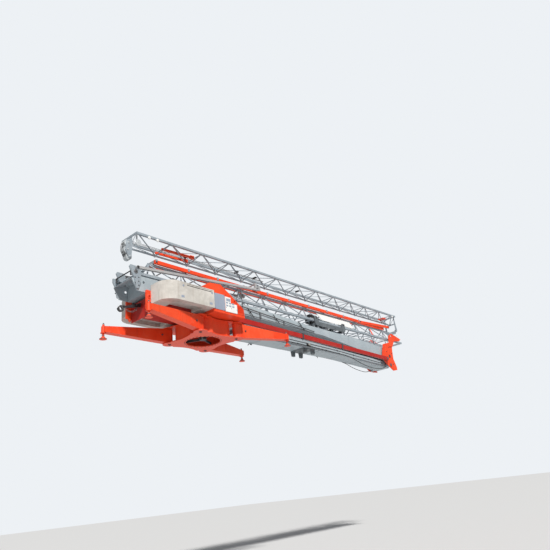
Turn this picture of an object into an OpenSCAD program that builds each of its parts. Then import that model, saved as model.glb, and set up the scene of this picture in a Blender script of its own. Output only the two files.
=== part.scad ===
// Self-erecting tower crane, folded for transport.
// An X-shaped base with four swinging legs carries a slewing platform with two ballast
// blocks. The lower mast lies forward from the platform, the upper mast folds back over
// it, and the jib lies on top in two sections.
//
// Millimetres, +Z up. Heights count from a datum level a little below the foot pads.
// Lengths along the crane count from the slewing axis, +X towards the folding end. The
// finished model is moved so that its origin is on the ground under the foot pads, below
// the middle of its length.

/* [Base] */
// Distance from the slewing axis to each leg hinge, along X and along Y
hinge_offset = 740; // [700:5:780]
// Radius of the hole in the middle of the base plates
base_hole_r = 545; // [480:5:560]
// Radius of the rounded corner around each leg hinge
base_lobe_r = 215; // [200:5:235]
// Distance from the slewing axis to the waist of the base between two hinges
base_waist = 780; // [740:5:820]
// Underside of the lower base plate above the datum
base_bottom_z = 120; // [100:5:140]
// Top of the upper base plate above the datum
base_top_z = 625; // [620:1:630]
// Thickness of the two base plates
base_plate_t = 25; // [18:1:30]
// Thickness of the walls between the base plates
base_wall_t = 20; // [12:1:30]

/* [Legs] */
// Length of a leg from its hinge to its foot
leg_length = 2120; // [1900:10:2300]
// Angle of a folded leg to the long axis of the crane
leg_fold_angle = 9.8; // [9:0.1:11]
// Width of a leg
leg_w = 220; // [180:5:230]
// Height of a leg at its tip
leg_tip_h = 170; // [140:5:190]
// Height of the underside of a leg at its tip
leg_tip_z = 285; // [260:5:320]
// Plate thickness of a leg
leg_plate_t = 12; // [8:1:16]
// Radius of a leg's hinge tube
leg_eye_r = 105; // [90:1:115]
// Radius of a leg's hinge pin
leg_pin_r = 42; // [30:1:50]

/* [Jacks] */
// Radius of a jack's screw
jack_screw_r = 34; // [26:1:40]
// Radius of the nut sleeve that holds a screw
jack_sleeve_r = 62; // [55:1:75]
// Radius of a foot pad
foot_r = 105; // [95:5:130]
// Height of a foot pad
foot_h = 75; // [60:5:90]
// Top of a jack's screw above the datum
jack_top_z = 520; // [500:5:540]
// Underside of the foot pads above the datum
ground_z = 80; // [60:5:95]

/* [Platform] */
// Outer radius of the slewing ring
ring_r = 600; // [580:5:640]
// Height of each half of the slewing ring
ring_h = 40; // [30:1:45]
// Half width of the platform frame
frame_half_w = 520; // [515:1:525]
// Front end of the platform frame
frame_front_x = 950; // [900:10:1000]
// Rear end of the platform frame
frame_rear_x = -2295; // [-2320:5:-2260]
// Height of the platform frame
frame_h = 225; // [200:5:250]
// Thickness of the platform frame's plates
frame_plate_t = 20; // [12:1:30]
// Thickness of the cheeks that carry the lower mast
foot_cheek_t = 40; // [30:1:45]
// Thickness of the rear posts
post_t = 55; // [40:1:60]
// Width of the rear posts
post_w = 190; // [160:5:220]
// Radius of the lifting hole in each rear post
post_hole_r = 32; // [20:1:40]

/* [Ballast] */
// Half of the width over both ballast blocks
ballast_half_w = 1250; // [1200:5:1300]
// Height of a ballast block
ballast_h = 565; // [500:5:575]
// Front face of the ballast blocks
ballast_front_x = -580; // [-590:5:-540]
// Rear face of the ballast blocks
ballast_rear_x = -2340; // [-2380:5:-2280]
// Radius of a ballast block's rear outer corner
ballast_corner_r = 450; // [300:5:600]
// Gap between the top of the base and the underside of the ballast
ballast_lift = 125; // [115:5:140]

/* [Housings] */
// Front end of the machine housings
housing_front_x = 700; // [660:5:720]
// Outer face of the machine housings
housing_half_w = 1225; // [1180:5:1240]
// Height of the housings above their own floor
housing_h = 930; // [880:5:960]

/* [Lower mast] */
// Height of the foot pivot of the lower mast
foot_pivot_z = 620; // [610:1:630]
// Distance from the slewing axis to the foot pivot of the lower mast
foot_pivot_x = 1300; // [1280:1:1310]
// Distance between the two pivots of the lower mast
lower_mast_l = 9650; // [9400:50:9900]
// Drop from the foot pivot to the head pivot of the folded lower mast
lower_mast_drop = 180; // [160:5:200]
// Underside of the lower mast above the datum, over its rear half
lower_mast_z = 505; // [490:1:515]
// Half width of the lower mast
lower_mast_half_w = 330; // [310:1:350]
// Height of the lower mast at its foot
lower_mast_foot_h = 325; // [300:5:335]
// Height of the lower mast at its head
lower_mast_head_h = 285; // [270:5:290]
// Radius of the tubes that carry the mast pins across the lower mast
mast_hub_r = 85; // [75:1:95]
// Width of each lug of the axle seat under the lower mast
bracket_w = 70; // [50:5:90]
// Plate thickness of the lower mast
lower_mast_t = 8; // [6:1:16]
// Radius of the pivot pins of both masts
mast_pin_r = 45; // [36:1:50]

/* [Guide struts] */
// Distance that the strut pivots lie behind the mast pivots
strut_back = 400; // [360:5:440]
// Distance that the strut pivots lie above the mast pivots
strut_up = 230; // [210:5:240]
// Height of a guide strut
strut_h = 160; // [120:5:170]
// Width of a guide strut
strut_w = 80; // [60:5:90]

/* [Upper mast] */
// Half width of the upper mast
upper_mast_half_w = 450; // [420:1:455]
// Top of the upper mast above the datum, in its level part
upper_mast_top_z = 1545; // [1530:1:1555]
// Height of the upper mast in its level part
upper_mast_h = 450; // [410:5:460]
// Height of the upper mast at its hinged end
upper_mast_end_h = 300; // [280:5:310]
// Plate thickness of the upper mast
upper_mast_t = 8; // [6:1:14]

/* [Jib] */
// Rise of the folded jib, in degrees
jib_tilt = 0.45; // [0.4:0.05:0.5]
// Angle between the two folded jib sections, in degrees
fold_gap_angle = 0.35; // [0.25:0.05:0.45]
// Distance from the jib's root pivot to its fold pivot
jib_fold_l = 15620; // [15500:20:15700]
// Half spacing of the lower chords of the inner section
inner_half_w = 390; // [370:1:395]
// Height from the lower chords to the top chord of the inner section
inner_h = 600; // [580:1:610]
// Half spacing of the paired chords of the outer section
outer_half_w = 355; // [340:1:370]
// Height from the paired chords to the single chord of the outer section
outer_h = 370; // [360:1:380]
// Height of the folded outer section's paired chords above the inner section's
fold_rise = 1415; // [1405:1:1425]
// Spacing of the lattice nodes
panel_l = 1255; // [1200:5:1300]
// Width of the inner section's square chords
inner_chord = 80; // [60:1:80]
// Width of the outer section's square chords
outer_chord = 70; // [50:1:80]
// Thickness of the lattice bars
lacing_d = 40; // [28:1:46]

/* [Stay bars] */
// Half spacing of the two stay bars
stay_half_w = 150; // [120:1:170]
// Width of a stay bar
stay_w = 70; // [50:1:80]
// Height of a stay bar
stay_h = 120; // [100:1:130]

/* [Hidden] */
$fn = 48;

orange = [0.93, 0.27, 0.11];
dark_red = [0.52, 0.10, 0.09];
grey = [0.62, 0.66, 0.68];
zinc = [0.70, 0.73, 0.75];
concrete = [0.78, 0.76, 0.72];
dark = [0.12, 0.13, 0.16];

pin_gap = 0.5;      // running clearance of a pin in its bore, all round
side_gap = 10;      // clearance between plates that turn past each other
strut_play = 3;     // play of the strut head pins, where the folding linkage is held open
face_gap = 0.3;     // clearance between faces that slide on each other

jib_root_x = -2820;
jib_root_z = 1650;

// Base
hinge_r = hinge_offset * sqrt(2);
base_inner_h = base_top_z - base_bottom_z - 2 * base_plate_t;
base_core_r = 850;
waist_arc_r = 1120;

// Legs: [side along X, side along Y] of each
front_near = [1, -1];
front_far = [1, 1];
rear_near = [-1, -1];
rear_far = [-1, 1];
leg_root_z = base_bottom_z + base_plate_t + 5;
leg_root_top = base_top_z - base_plate_t - 5;

// Platform
ring_top_z = base_top_z + 2 * ring_h + pin_gap;
frame_top_z = ring_top_z + frame_h;
ballast_z = base_top_z + ballast_lift;
housing_z = base_top_z + 30;
housing_rear_x = ballast_front_x + 5;
housing_in = ring_r + side_gap;
post_in = upper_mast_half_w + 8;
post_x = frame_rear_x - post_w / 2;
eye_z = base_top_z + 345;
rear_plate_t = 30;
rear_plate_z = base_bottom_z + 350;
hook_at = [post_x - 590, base_top_z + 25];
hook_ring_r = 95;

// Masts
head_pivot = [foot_pivot_x + lower_mast_l, foot_pivot_z - lower_mast_drop];
strut_foot = [foot_pivot_x - strut_back, foot_pivot_z + strut_up];
strut_head = [head_pivot.x - strut_back, head_pivot.y + strut_up];
cheek_in = frame_half_w;
cheek_out = cheek_in + foot_cheek_t;
knuckle_in = cheek_in;
knuckle_t = 30;
strut_in = cheek_out + 2 * side_gap + 15;
strut_out = strut_in + strut_w;
strut_wall = 8;
upper_pivot = [head_pivot.x + 50, head_pivot.y + 420];
upper_end_x = upper_pivot.x + 120;
upper_level_x = 2200;
head_x = -2930;
open_x = head_x + 480;
head_cheek_t = 40;
head_cheek_out = upper_mast_half_w + head_cheek_t;

// Jib, in its own frame: u along the chords from the root pivot, w up from the lower chords
chord_wall = 6;
end_plate_t = 25;
fold_pivot_w = fold_rise / 2;
inner_u0 = 60;
inner_u1 = jib_fold_l - 60;
inner_ridge_u = 760;
inner_ridge_d = 90;
inner_node_u = 755;
inner_last_u = inner_u1 - 900;
inner_lean = 300;
outer_u0 = 140;
outer_u1 = inner_u1;
outer_ridge_d = 60;
outer_node_u = 1405;
outer_last_u = outer_u1 - 200;
outer_lean = 350;
outer_pair_w = fold_rise;
outer_ridge_w = fold_rise - outer_h;
face_l = norm([inner_h, inner_half_w]);
root_cheek_in = inner_half_w - inner_chord / 2 - 40;
lug_in = 200;
lug_t = 40;
lug_gap = side_gap;
outer_lug_in = lug_in + lug_t + lug_gap;
fold_lug_r = 60;
fold_pin_r = 30;

// Stay bars lie on saddles on the top chord, and the king post lies over them
stay_w0 = inner_h;
stay_u0 = 900;
stay_u1 = jib_fold_l - 3220;
link_l = 2720;
link_rise = 3.5;
king_bar_w = 80;
king_bar_h = 75;
king_pivot = [120, 185];
king_half_w = root_cheek_in + 40 + side_gap + king_bar_w / 2;
king_in = king_half_w - king_bar_w / 2;
king_out = king_half_w + king_bar_w / 2;
king_l = 5200;
king_rise = 4.7;
king_pin_r = 30;
king_tube_r = 26;
king_tube_w = stay_w0 + stay_h + king_tube_r + 60;
king_sheave_r = 95;

// Sign, trolley, head sheaves
sign_u = 9025;
sign_l = 2375;
sign_t = 20;
sign_seat = 30;
trolley_u = 9400;
trolley_half_l = 1050;
trolley_drop = 200;
trolley_wheel_r = 45;
trolley_in = inner_half_w + 80;
hook_block_h = 150;
head_plate_in = 100;
head_axle_r = 26;
sheave_axes = [[5, 1170], [-20, 940], [50, 735]];
sheave_radii = [105, 110, 100];

// The rear hook and the lugs of the fold end the folded crane.
tail_x = hook_at.x - hook_ring_r;
tip_x = jib_root_x + jib_fold_l * cos(jib_tilt) - fold_pivot_w * sin(jib_tilt) + fold_lug_r;
middle_x = (tail_x + tip_x) / 2;

// Shared shapes

// Straight bar with few sides from p to q
module bar(p, q, d, sides = 6) {
    v = q - p;
    l = norm(v);
    translate(p)
        rotate([0, acos(v.z / l), atan2(v.y, v.x)])
            cylinder(h = l, d = d, $fn = sides);
}

// Square tube's outer shape from p to q, both in one XZ plane
module beam(p, q, w, h) {
    v = q - p;
    l = norm(v);
    translate(p)
        rotate([0, -atan2(v.z, v.x), 0])
            translate([0, -w / 2, -h / 2])
                cube([l, w, h]);
}

// Plate in an XZ plane, from y0 over its thickness t
module side_plate(outline, y0, t) {
    translate([0, y0 + t, 0])
        rotate([90, 0, 0])
            linear_extrude(t)
                polygon(outline);
}

// Rod along Y through [x, z]
module cross_rod(at, r, y0, y1) {
    translate([at.x, y1, at.y])
        rotate([90, 0, 0])
            cylinder(h = y1 - y0, r = r);
}

// A shape and its copy on the other side of the crane
module both_sides() {
    children();
    mirror([0, 1, 0]) children();
}

// X-shaped plate of the base with concave edges and round lobes
module base_outline(h, inset = 0) {
    intersection() {
        difference() {
            cylinder(h = h, r = hinge_r + base_lobe_r + 100, $fn = 96);
            for (a = [0:90:270])
                rotate(a)
                    translate([base_waist + waist_arc_r, 0, -1])
                        cylinder(h = h + 2, r = waist_arc_r + inset, $fn = 96);
        }
        union() {
            cylinder(h = h, r = hinge_r - 40 - inset, $fn = 96);
            for (a = [45:90:315])
                rotate(a)
                    translate([hinge_r, 0, 0])
                        cylinder(h = h, r = base_lobe_r - inset);
        }
    }
}

module at_hinge(side) {
    translate([side.x * hinge_offset, side.y * hinge_offset, 0])
        children();
}

// Leg frame: origin at its hinge, +X along the folded leg
module at_leg(side) {
    at_hinge(side)
        rotate(side.x > 0 ? side.y * leg_fold_angle : 180 - side.y * leg_fold_angle)
            children();
}

// Base

module base_frame() color(orange) {
    difference() {
        union() {
            translate([0, 0, base_bottom_z])
                base_outline(base_plate_t);
            translate([0, 0, base_top_z - base_plate_t])
                base_outline(base_plate_t);
            difference() {
                translate([0, 0, base_bottom_z])
                    intersection() {
                        base_outline(base_top_z - base_bottom_z, 30);
                        cylinder(h = base_top_z, r = base_core_r);
                    }
                translate([0, 0, base_bottom_z + base_plate_t])
                    intersection() {
                        base_outline(base_inner_h, 30 + base_wall_t);
                        cylinder(h = base_inner_h, r = base_core_r - base_wall_t);
                    }
            }
        }
        translate([0, 0, base_bottom_z - 1])
            cylinder(h = base_top_z, r = base_hole_r, $fn = 96);
        for (s = [front_near, front_far, rear_near, rear_far])
            at_hinge(s)
                translate([0, 0, base_bottom_z - 1])
                    cylinder(h = base_top_z, r = leg_pin_r + pin_gap);
    }
}

module leg_hinge_pins() color(dark) {
    for (s = [front_near, front_far, rear_near, rear_far])
        at_hinge(s) {
            translate([0, 0, base_bottom_z])
                cylinder(h = base_top_z - base_bottom_z, r = leg_pin_r);
            translate([0, 0, base_top_z])
                cylinder(h = 18, r = leg_pin_r + 22);
        }
}

module slewing_ring_lower() color(dark) {
    translate([0, 0, base_top_z])
        difference() {
            cylinder(h = ring_h, r = ring_r, $fn = 96);
            translate([0, 0, -1])
                cylinder(h = ring_h + 2, r = ring_r - 100, $fn = 96);
        }
}

// Legs and jacks

module leg(side) {
    root = leg_eye_r + 60;
    at_leg(side)
        difference() {
            union() {
                translate([0, 0, leg_root_z])
                    cylinder(h = leg_root_top - leg_root_z, r = leg_eye_r);
                side_plate([[0, leg_root_z + 10], [root + 10, leg_root_z + 10],
                            [root + 10, leg_root_top - 10], [0, leg_root_top - 10]],
                           -leg_w / 2 + leg_plate_t, leg_w - 2 * leg_plate_t);
                side_plate([[root, leg_root_z], [leg_length, leg_tip_z],
                            [leg_length, leg_tip_z + leg_tip_h], [root, leg_root_top]],
                           -leg_w / 2, leg_w);
                translate([leg_length, 0, leg_tip_z - 25])
                    cylinder(h = leg_tip_h + 35, r = jack_sleeve_r);
            }
            // closed hollow of the box
            side_plate([[root + 30, leg_root_z + leg_plate_t + 4],
                        [leg_length - 130, leg_tip_z + leg_plate_t],
                        [leg_length - 130, leg_tip_z + leg_tip_h - leg_plate_t],
                        [root + 30, leg_root_top - leg_plate_t - 4]],
                       -leg_w / 2 + leg_plate_t, leg_w - 2 * leg_plate_t);
            translate([leg_length, 0, 0])
                cylinder(h = leg_tip_z + leg_tip_h + 60, r = jack_screw_r + pin_gap);
            cylinder(h = base_top_z, r = leg_pin_r + pin_gap);
        }
}

module jack(side) {
    at_leg(side)
        translate([leg_length, 0, ground_z]) {
            cylinder(h = 20, r = foot_r);
            translate([0, 0, 20])
                cylinder(h = foot_h - 20, r1 = foot_r - 15, r2 = jack_screw_r + 12);
            translate([0, 0, foot_h])
                cylinder(h = jack_top_z - ground_z - foot_h, r = jack_screw_r);
        }
}

// Slewing platform

module slewing_ring_upper() color(dark) {
    translate([0, 0, base_top_z + ring_h + pin_gap])
        difference() {
            union() {
                cylinder(h = ring_h, r = ring_r, $fn = 96);
                translate([0, 0, -ring_h])
                    cylinder(h = ring_h, r = ring_r - 100 - pin_gap, $fn = 96);
            }
            translate([0, 0, -ring_h - 1])
                cylinder(h = 2 * ring_h + 2, r = ring_r - 180, $fn = 96);
        }
}

module platform_frame() color(dark_red) {
    t = frame_plate_t;
    l = frame_front_x - frame_rear_x;
    translate([frame_rear_x, -frame_half_w, ring_top_z])
        difference() {
            cube([l, 2 * frame_half_w, frame_h]);
            for (x = [t, (l - t) / 2 + t])
                translate([x, t, t])
                    cube([(l - 3 * t) / 2, 2 * (frame_half_w - t), frame_h - 2 * t]);
        }
    // arms that carry the housings
    both_sides()
        for (x = [housing_rear_x + 95, housing_rear_x + 775])
            translate([x, frame_half_w - 1, ring_top_z + 40])
                cube([100, housing_in - face_gap - frame_half_w + 1, 100]);
    // rear plate between the posts
    translate([frame_rear_x - rear_plate_t, -post_in + face_gap, rear_plate_z])
        cube([rear_plate_t + 1, 2 * (post_in - face_gap), frame_top_z + 80 - rear_plate_z]);
}

module mast_foot_cheeks() color(orange) {
    low = foot_pivot_z - 110;
    outline = [[frame_front_x - 600, frame_top_z], [frame_front_x - 600, ring_top_z],
               [frame_front_x - 60, ring_top_z], [foot_pivot_x - 130, low], [foot_pivot_x + 60, low],
               [foot_pivot_x + 130, foot_pivot_z - 30], [foot_pivot_x + 110, foot_pivot_z + 90],
               [strut_foot.x + 130, strut_foot.y + 110], [strut_foot.x - 100, strut_foot.y + 130]];
    both_sides()
        difference() {
            side_plate(outline, cheek_in, foot_cheek_t);
            cross_rod([foot_pivot_x, foot_pivot_z], mast_pin_r + pin_gap, cheek_in - 1, cheek_out + 1);
            cross_rod(strut_foot, mast_pin_r - 10 + pin_gap, cheek_in - 1, cheek_out + 1);
        }
}

module rear_posts() color(orange)
    both_sides()
        difference() {
            translate([frame_rear_x - post_w, post_in, base_top_z - 35])
                cube([post_w, post_t, 560]);
            cross_rod([post_x, eye_z], post_hole_r, post_in - 10, post_in + post_t + 10);
        }

module rear_hook() color(dark) {
    ring_in = 52;
    root_x = frame_rear_x - rear_plate_t;
    difference() {
        cross_rod(hook_at, hook_ring_r, -30, 30);
        cross_rod(hook_at, ring_in, -31, 31);
        translate([hook_at.x - hook_ring_r, -31, hook_at.y])
            cube([hook_ring_r - 20, 62, hook_ring_r]);
    }
    side_plate([[hook_at.x + 20, hook_at.y + 60], [hook_at.x + 90, hook_at.y + 30],
                [root_x, hook_at.y + 170], [root_x, hook_at.y + 290]], -30, 60);
}

// Ballast

module ballast_block() {
    y0 = frame_half_w + face_gap;
    r = ballast_corner_r;
    difference() {
        linear_extrude(ballast_h)
            intersection() {
                translate([ballast_rear_x, y0])
                    square([ballast_front_x - ballast_rear_x, ballast_half_w - y0]);
                union() {
                    translate([ballast_rear_x + r, ballast_half_w - r])
                        circle(r = r, $fn = 96);
                    translate([ballast_rear_x, y0])
                        square([r, ballast_half_w - y0 - r]);
                    translate([ballast_rear_x + r, y0])
                        square([ballast_front_x - ballast_rear_x - r, ballast_half_w - y0]);
                }
            }
        // recess of the underside
        translate([ballast_rear_x + 450, y0 - 1, -1])
            cube([ballast_front_x - ballast_rear_x - 750, ballast_half_w - y0 - 209, 120]);
        // groove near the top of the outer face
        translate([ballast_rear_x + 730, ballast_half_w - 15, ballast_h - 45])
            cube([980, 20, 20]);
    }
}

module ballast_near() color(concrete)
    translate([0, 0, ballast_z]) mirror([0, 1, 0]) ballast_block();

module ballast_far() color(concrete)
    translate([0, 0, ballast_z]) ballast_block();

// Machine housings

function housing_outline(e) =
    let (z = housing_z, top = housing_z + housing_h, b = ballast_z + ballast_h + 4)
    [[housing_rear_x + e, z + e], [housing_front_x - e, z + e], [housing_front_x - 20 - e, z + 285],
     [housing_front_x - 560, z + 670 - 1.3 * e], [housing_front_x - 970 - e / 2, top - e],
     [housing_rear_x - 155, top - 40 - e], [housing_rear_x - 325 + e, top - 165 - e],
     [housing_rear_x - 325 + e, b + e], [housing_rear_x + e, b + e]];

module housing() {
    t = 12;
    difference() {
        side_plate(housing_outline(0), housing_in, housing_half_w - housing_in);
        side_plate(housing_outline(t), housing_in + t, housing_half_w - housing_in - 2 * t);
    }
}

module housing_near() color(orange)
    mirror([0, 1, 0]) housing();

module housing_far() color(orange)
    housing();

module control_panel() color([0.92, 0.93, 0.92])
    side_plate([[-120, housing_z + 80], [365, housing_z + 80], [365, housing_z + 370],
                [105, housing_z + 370], [105, housing_z + 560], [-120, housing_z + 560]],
               -housing_half_w - 20, 20);

module cover_panel() color(grey)
    side_plate([[housing_rear_x + 5, housing_z + 90], [-135, housing_z + 90],
                [-135, housing_z + 600], [housing_rear_x + 5, housing_z + 600]],
               -housing_half_w - 12, 12);

// Lower mast

module lower_mast() color(grey) {
    z = lower_mast_z;
    head_z = head_pivot.y - 85;
    end_x = head_pivot.x + 170;
    low = [[foot_pivot_x - 180, z], [7200, z], [end_x, head_z]];
    high = [[foot_pivot_x - 180, z + lower_mast_foot_h], [4800, z + lower_mast_foot_h - 35],
            [head_pivot.x, head_z + lower_mast_head_h], [end_x, head_z + 195]];
    outline = concat(low, [for (i = [3:-1:0]) high[i]]);
    t = lower_mast_t;
    w = lower_mast_half_w;
    hub = cheek_in - side_gap;
    difference() {
        union() {
            side_plate(outline, -w, 2 * w);
            for (p = [[foot_pivot_x, foot_pivot_z], head_pivot]) {
                cross_rod(p, mast_hub_r, -hub, hub);
                cross_rod(p, mast_pin_r, -cheek_out, cheek_out);
            }
        }
        // closed hollow of the box between its two hub tubes
        side_plate([[foot_pivot_x + 130, z + t], [7200, z + t], [head_pivot.x - 160, head_z + t + 16],
                    [head_pivot.x - 160, head_z + lower_mast_head_h - t + 3],
                    [4800, z + lower_mast_foot_h - 35 - t], [foot_pivot_x + 130, z + lower_mast_foot_h - t - 3]],
                   -w + t, 2 * (w - t));
    }
}

module axle_brackets() color(dark) {
    w = lower_mast_half_w;
    top = lower_mast_z - face_gap;
    translate([4760, -w, top - 25])
        cube([690, 2 * w, 25]);
    for (x = [4765, 5235])
        both_sides()
            side_plate([[x + 20, top - 205], [x + 165, top - 205], [x + 205, top - 24],
                        [x - 5, top - 24]], w - bracket_w, bracket_w);
}

// Guide struts

module guide_struts() color(dark_red) {
    a = [strut_foot.x, 0, strut_foot.y];
    b = [strut_head.x, 0, strut_head.y];
    along = (b - a) / norm(b - a);
    both_sides()
        difference() {
            union() {
                translate([0, strut_in + strut_w / 2, 0]) {
                    beam(a, b, strut_w, strut_h);
                    for (p = [strut_foot, strut_head])
                        cross_rod(p, strut_h / 2 + 8, -strut_w / 2 - 5, strut_w / 2 + 5);
                }
                cross_rod(strut_foot, mast_pin_r - 10, cheek_in, strut_in + 30);
                cross_rod(strut_head, mast_pin_r - 10 - strut_play, knuckle_in, strut_in + 30);
            }
            translate([0, strut_in + strut_w / 2, 0])
                beam(a + 200 * along, b - 200 * along, strut_w - 2 * strut_wall, strut_h - 2 * strut_wall);
        }
}

// Knuckle between the masts

// One knuckle plate; tip_drop is how far its lower corner hangs below the mast's head pin
module knuckle_plate(tip_drop) {
    k = head_pivot;
    u = upper_pivot;
    outline = [[k.x - 620, k.y + 290], [k.x - 480, k.y + 130], [k.x - 150, k.y - 80],
               [k.x + 200, k.y - tip_drop], [k.x + 560, k.y - 0.72 * tip_drop],
               [k.x + 560, k.y - 30], [k.x + 380, k.y + 330], [k.x + 420, k.y + 700],
               [k.x + 520, k.y + 1150], [k.x + 110, k.y + 1070], [k.x - 320, k.y + 960],
               [k.x - 500, k.y + 610]];
    difference() {
        side_plate(outline, knuckle_in, knuckle_t);
        cross_rod(k, mast_pin_r + pin_gap, knuckle_in - 1, knuckle_in + knuckle_t + 1);
        cross_rod(u, mast_pin_r + pin_gap, knuckle_in - 1, knuckle_in + knuckle_t + 1);
        cross_rod(strut_head, mast_pin_r - 10, knuckle_in - 1, knuckle_in + knuckle_t + 1);
    }
}

module knuckle_plates() color(orange) {
    knuckle_plate(90);
    mirror([0, 1, 0])
        knuckle_plate(250);
    cross_rod([head_pivot.x + 450, head_pivot.y + 120], 45, -knuckle_in, knuckle_in);
}

module rest_levers() color(orange) {
    k = head_pivot;
    both_sides()
        difference() {
            side_plate([[k.x + 150, k.y + 900], [k.x + 470, k.y + 920], [k.x + 720, k.y + 1230],
                        [k.x + 1280, k.y + 1310], [k.x + 1440, k.y + 1420], [k.x + 960, k.y + 1530],
                        [k.x + 580, k.y + 1590], [k.x + 290, k.y + 1430]], knuckle_in + knuckle_t, 30);
            cross_rod([k.x + 530, k.y + 1450], 65, knuckle_in + knuckle_t - 1,
                      knuckle_in + knuckle_t + 31);
        }
}

// Upper mast

module upper_mast() color(grey) {
    z0 = upper_mast_top_z - upper_mast_h;
    low = [[head_x + 170, z0 + 5], [open_x, z0], [1500, z0 + 65], [6000, z0 + 30],
           [upper_end_x, upper_pivot.y + 100 - upper_mast_end_h]];
    high = [[head_x, upper_mast_top_z - 105], [head_x + 320, upper_mast_top_z + 15],
            [upper_level_x, upper_mast_top_z], [4900, upper_mast_top_z - 140],
            [8500, upper_mast_top_z - 180], [upper_end_x, upper_mast_top_z - 300]];
    w = upper_mast_half_w;
    t = upper_mast_t;
    difference() {
        union() {
            both_sides()
                side_plate(concat(low, [for (i = [5:-1:0]) high[i]]), w - t, t);
            for (i = [1:3])
                side_plate([low[i], low[i + 1], low[i + 1] + [0, t], low[i] + [0, t]],
                           -w + t, 2 * (w - t));
            for (i = [0:4])
                side_plate([high[i] - [0, t], high[i + 1] - [0, t], high[i + 1], high[i]],
                           -w + t, 2 * (w - t));
            side_plate([low[4] - [t, 0], low[4], high[5], high[5] - [t, 0]], -w + t, 2 * (w - t));
            // bulkhead behind the open end
            side_plate([[open_x, low[1].y], [open_x + t, low[1].y],
                        [open_x + t, upper_mast_top_z + 10], [open_x, upper_mast_top_z + 10]],
                       -w + t, 2 * (w - t));
            cross_rod(upper_pivot, mast_pin_r, -knuckle_in - knuckle_t, knuckle_in + knuckle_t);
        }
        cross_rod([head_x + 400, upper_mast_top_z - 160], 38, -w - 1, w + 1);
    }
}

module mast_head_cheeks() color(zinc) {
    low = upper_mast_top_z - upper_mast_h + 60;
    both_sides()
        difference() {
            side_plate([[jib_root_x - 130, jib_root_z + 80], [jib_root_x - 130, jib_root_z - 40],
                        [jib_root_x - 40, low + 290], [jib_root_x + 20, low],
                        [jib_root_x + 100, low], [jib_root_x + 165, low + 190],
                        [jib_root_x + 190, jib_root_z + 80]], upper_mast_half_w, head_cheek_t);
            cross_rod([jib_root_x, jib_root_z], mast_pin_r + pin_gap, upper_mast_half_w - 1,
                      head_cheek_out + 1);
        }
}

module mast_rail() color(dark) {
    y = -upper_mast_half_w - 45;
    ends = [1300, 5350];
    top = [upper_mast_top_z - 110, upper_mast_top_z - 380];
    foot = [upper_mast_top_z - 365, upper_mast_top_z - 430];
    bar([ends[0], y, top[0]], [ends[1], y, top[1]], 44, 4);
    bar([ends[0], y, foot[0]], [ends[1], y, foot[1]], 30, 4);
    for (x = [1350, 2290, 3560, 4750]) {
        k = (x - ends[0]) / (ends[1] - ends[0]);
        zt = top[0] + (top[1] - top[0]) * k;
        zf = foot[0] + (foot[1] - foot[0]) * k;
        translate([x - 25, y - 12, zf - 12])
            cube([50, 57, zt - zf + 20]);
    }
}

// Jib

// Jib frame: origin at the root pivot, +X along the chords
module in_jib() {
    translate([jib_root_x, 0, jib_root_z])
        rotate([0, -jib_tilt, 0])
            children();
}

// Frame of the outer section, turned a little about the fold pivot
module in_outer() {
    in_jib()
        translate([jib_fold_l, 0, fold_pivot_w])
            rotate([0, -fold_gap_angle, 0])
                translate([-jib_fold_l, 0, -fold_pivot_w])
                    children();
}

// Bars between a pair of chords at w = pair_w and one chord at w = ridge_w. Upright bars
// lean from the lower node to the upper one, and the diagonals fall to the next lower node.
module lattice(first, last, half_w, pair_w, ridge_w, lean, d) {
    low_pair = pair_w < ridge_w;
    pair_u = low_pair ? -lean : 0;
    ridge_u = low_pair ? 0 : -lean;
    for (u = [first:panel_l:last]) {
        for (s = [-1, 1])
            bar([u + pair_u, s * half_w, pair_w], [u + ridge_u, 0, ridge_w], d);
        bar([u + pair_u, -half_w, pair_w], [u + pair_u, half_w, pair_w], d);
    }
    for (i = [1:floor((last - first) / panel_l + 0.001)]) {
        u = first + (i - 1) * panel_l;
        v = u + panel_l;
        for (s = [-1, 1])
            if (low_pair)
                bar([u + ridge_u, 0, ridge_w], [v + pair_u, s * half_w, pair_w], d);
            else
                bar([u + pair_u, s * half_w, pair_w], [v + ridge_u, 0, ridge_w], d);
        side = i % 2 == 0 ? 1 : -1;
        bar([u + pair_u, side * half_w, pair_w], [v + pair_u, -side * half_w, pair_w], d);
    }
}

// Box along the jib at half spacing y, less its wall and an end cap for the hollow of a chord
module chord(u0, u1, y, w, size, wall = 0) {
    cap = wall > 0 ? 20 : 0;
    translate([u0 + cap, y - size / 2 + wall, w - size / 2 + wall])
        cube([u1 - u0 - 2 * cap, size - 2 * wall, size - 2 * wall]);
}

// Panel on the near inclined face of the inner section: x along the jib, y up the face
module on_near_face() {
    translate([0, -inner_half_w, 0])
        rotate([atan2(inner_h, inner_half_w), 0, 0])
            children();
}

function last_node(first, last) = first + floor((last - first) / panel_l + 0.001) * panel_l;

module jib_inner_lattice() color(zinc) in_jib() {
    y = inner_half_w;
    tail = last_node(inner_node_u, inner_last_u);
    difference() {
        union() {
            both_sides()
                chord(inner_u0, inner_u1, y, 0, inner_chord);
            bar([inner_ridge_u, 0, inner_h], [inner_u1, 0, inner_h], inner_ridge_d, 8);
            lattice(inner_node_u, inner_last_u, y, 0, inner_h, inner_lean, lacing_d);
            for (s = [-1, 1]) {
                bar([inner_ridge_u + 40, 0, inner_h], [inner_node_u - inner_lean, s * y, 0], lacing_d);
                bar([inner_ridge_u + 60, 0, inner_h], [inner_u0 + 190, s * y, 0], lacing_d + 15);
                bar([tail, 0, inner_h], [inner_u1 - 20, s * y, 0], lacing_d);
            }
        }
        both_sides()
            chord(inner_u0, inner_u1, y, 0, inner_chord, chord_wall);
    }
    // seats of the sign board on two upright bars
    for (i = [7, 8])
        on_near_face()
            translate([inner_node_u + i * panel_l - inner_lean / 2, face_l / 2, 0])
                cylinder(h = sign_seat, d = 46, $fn = 12);
}

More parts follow.
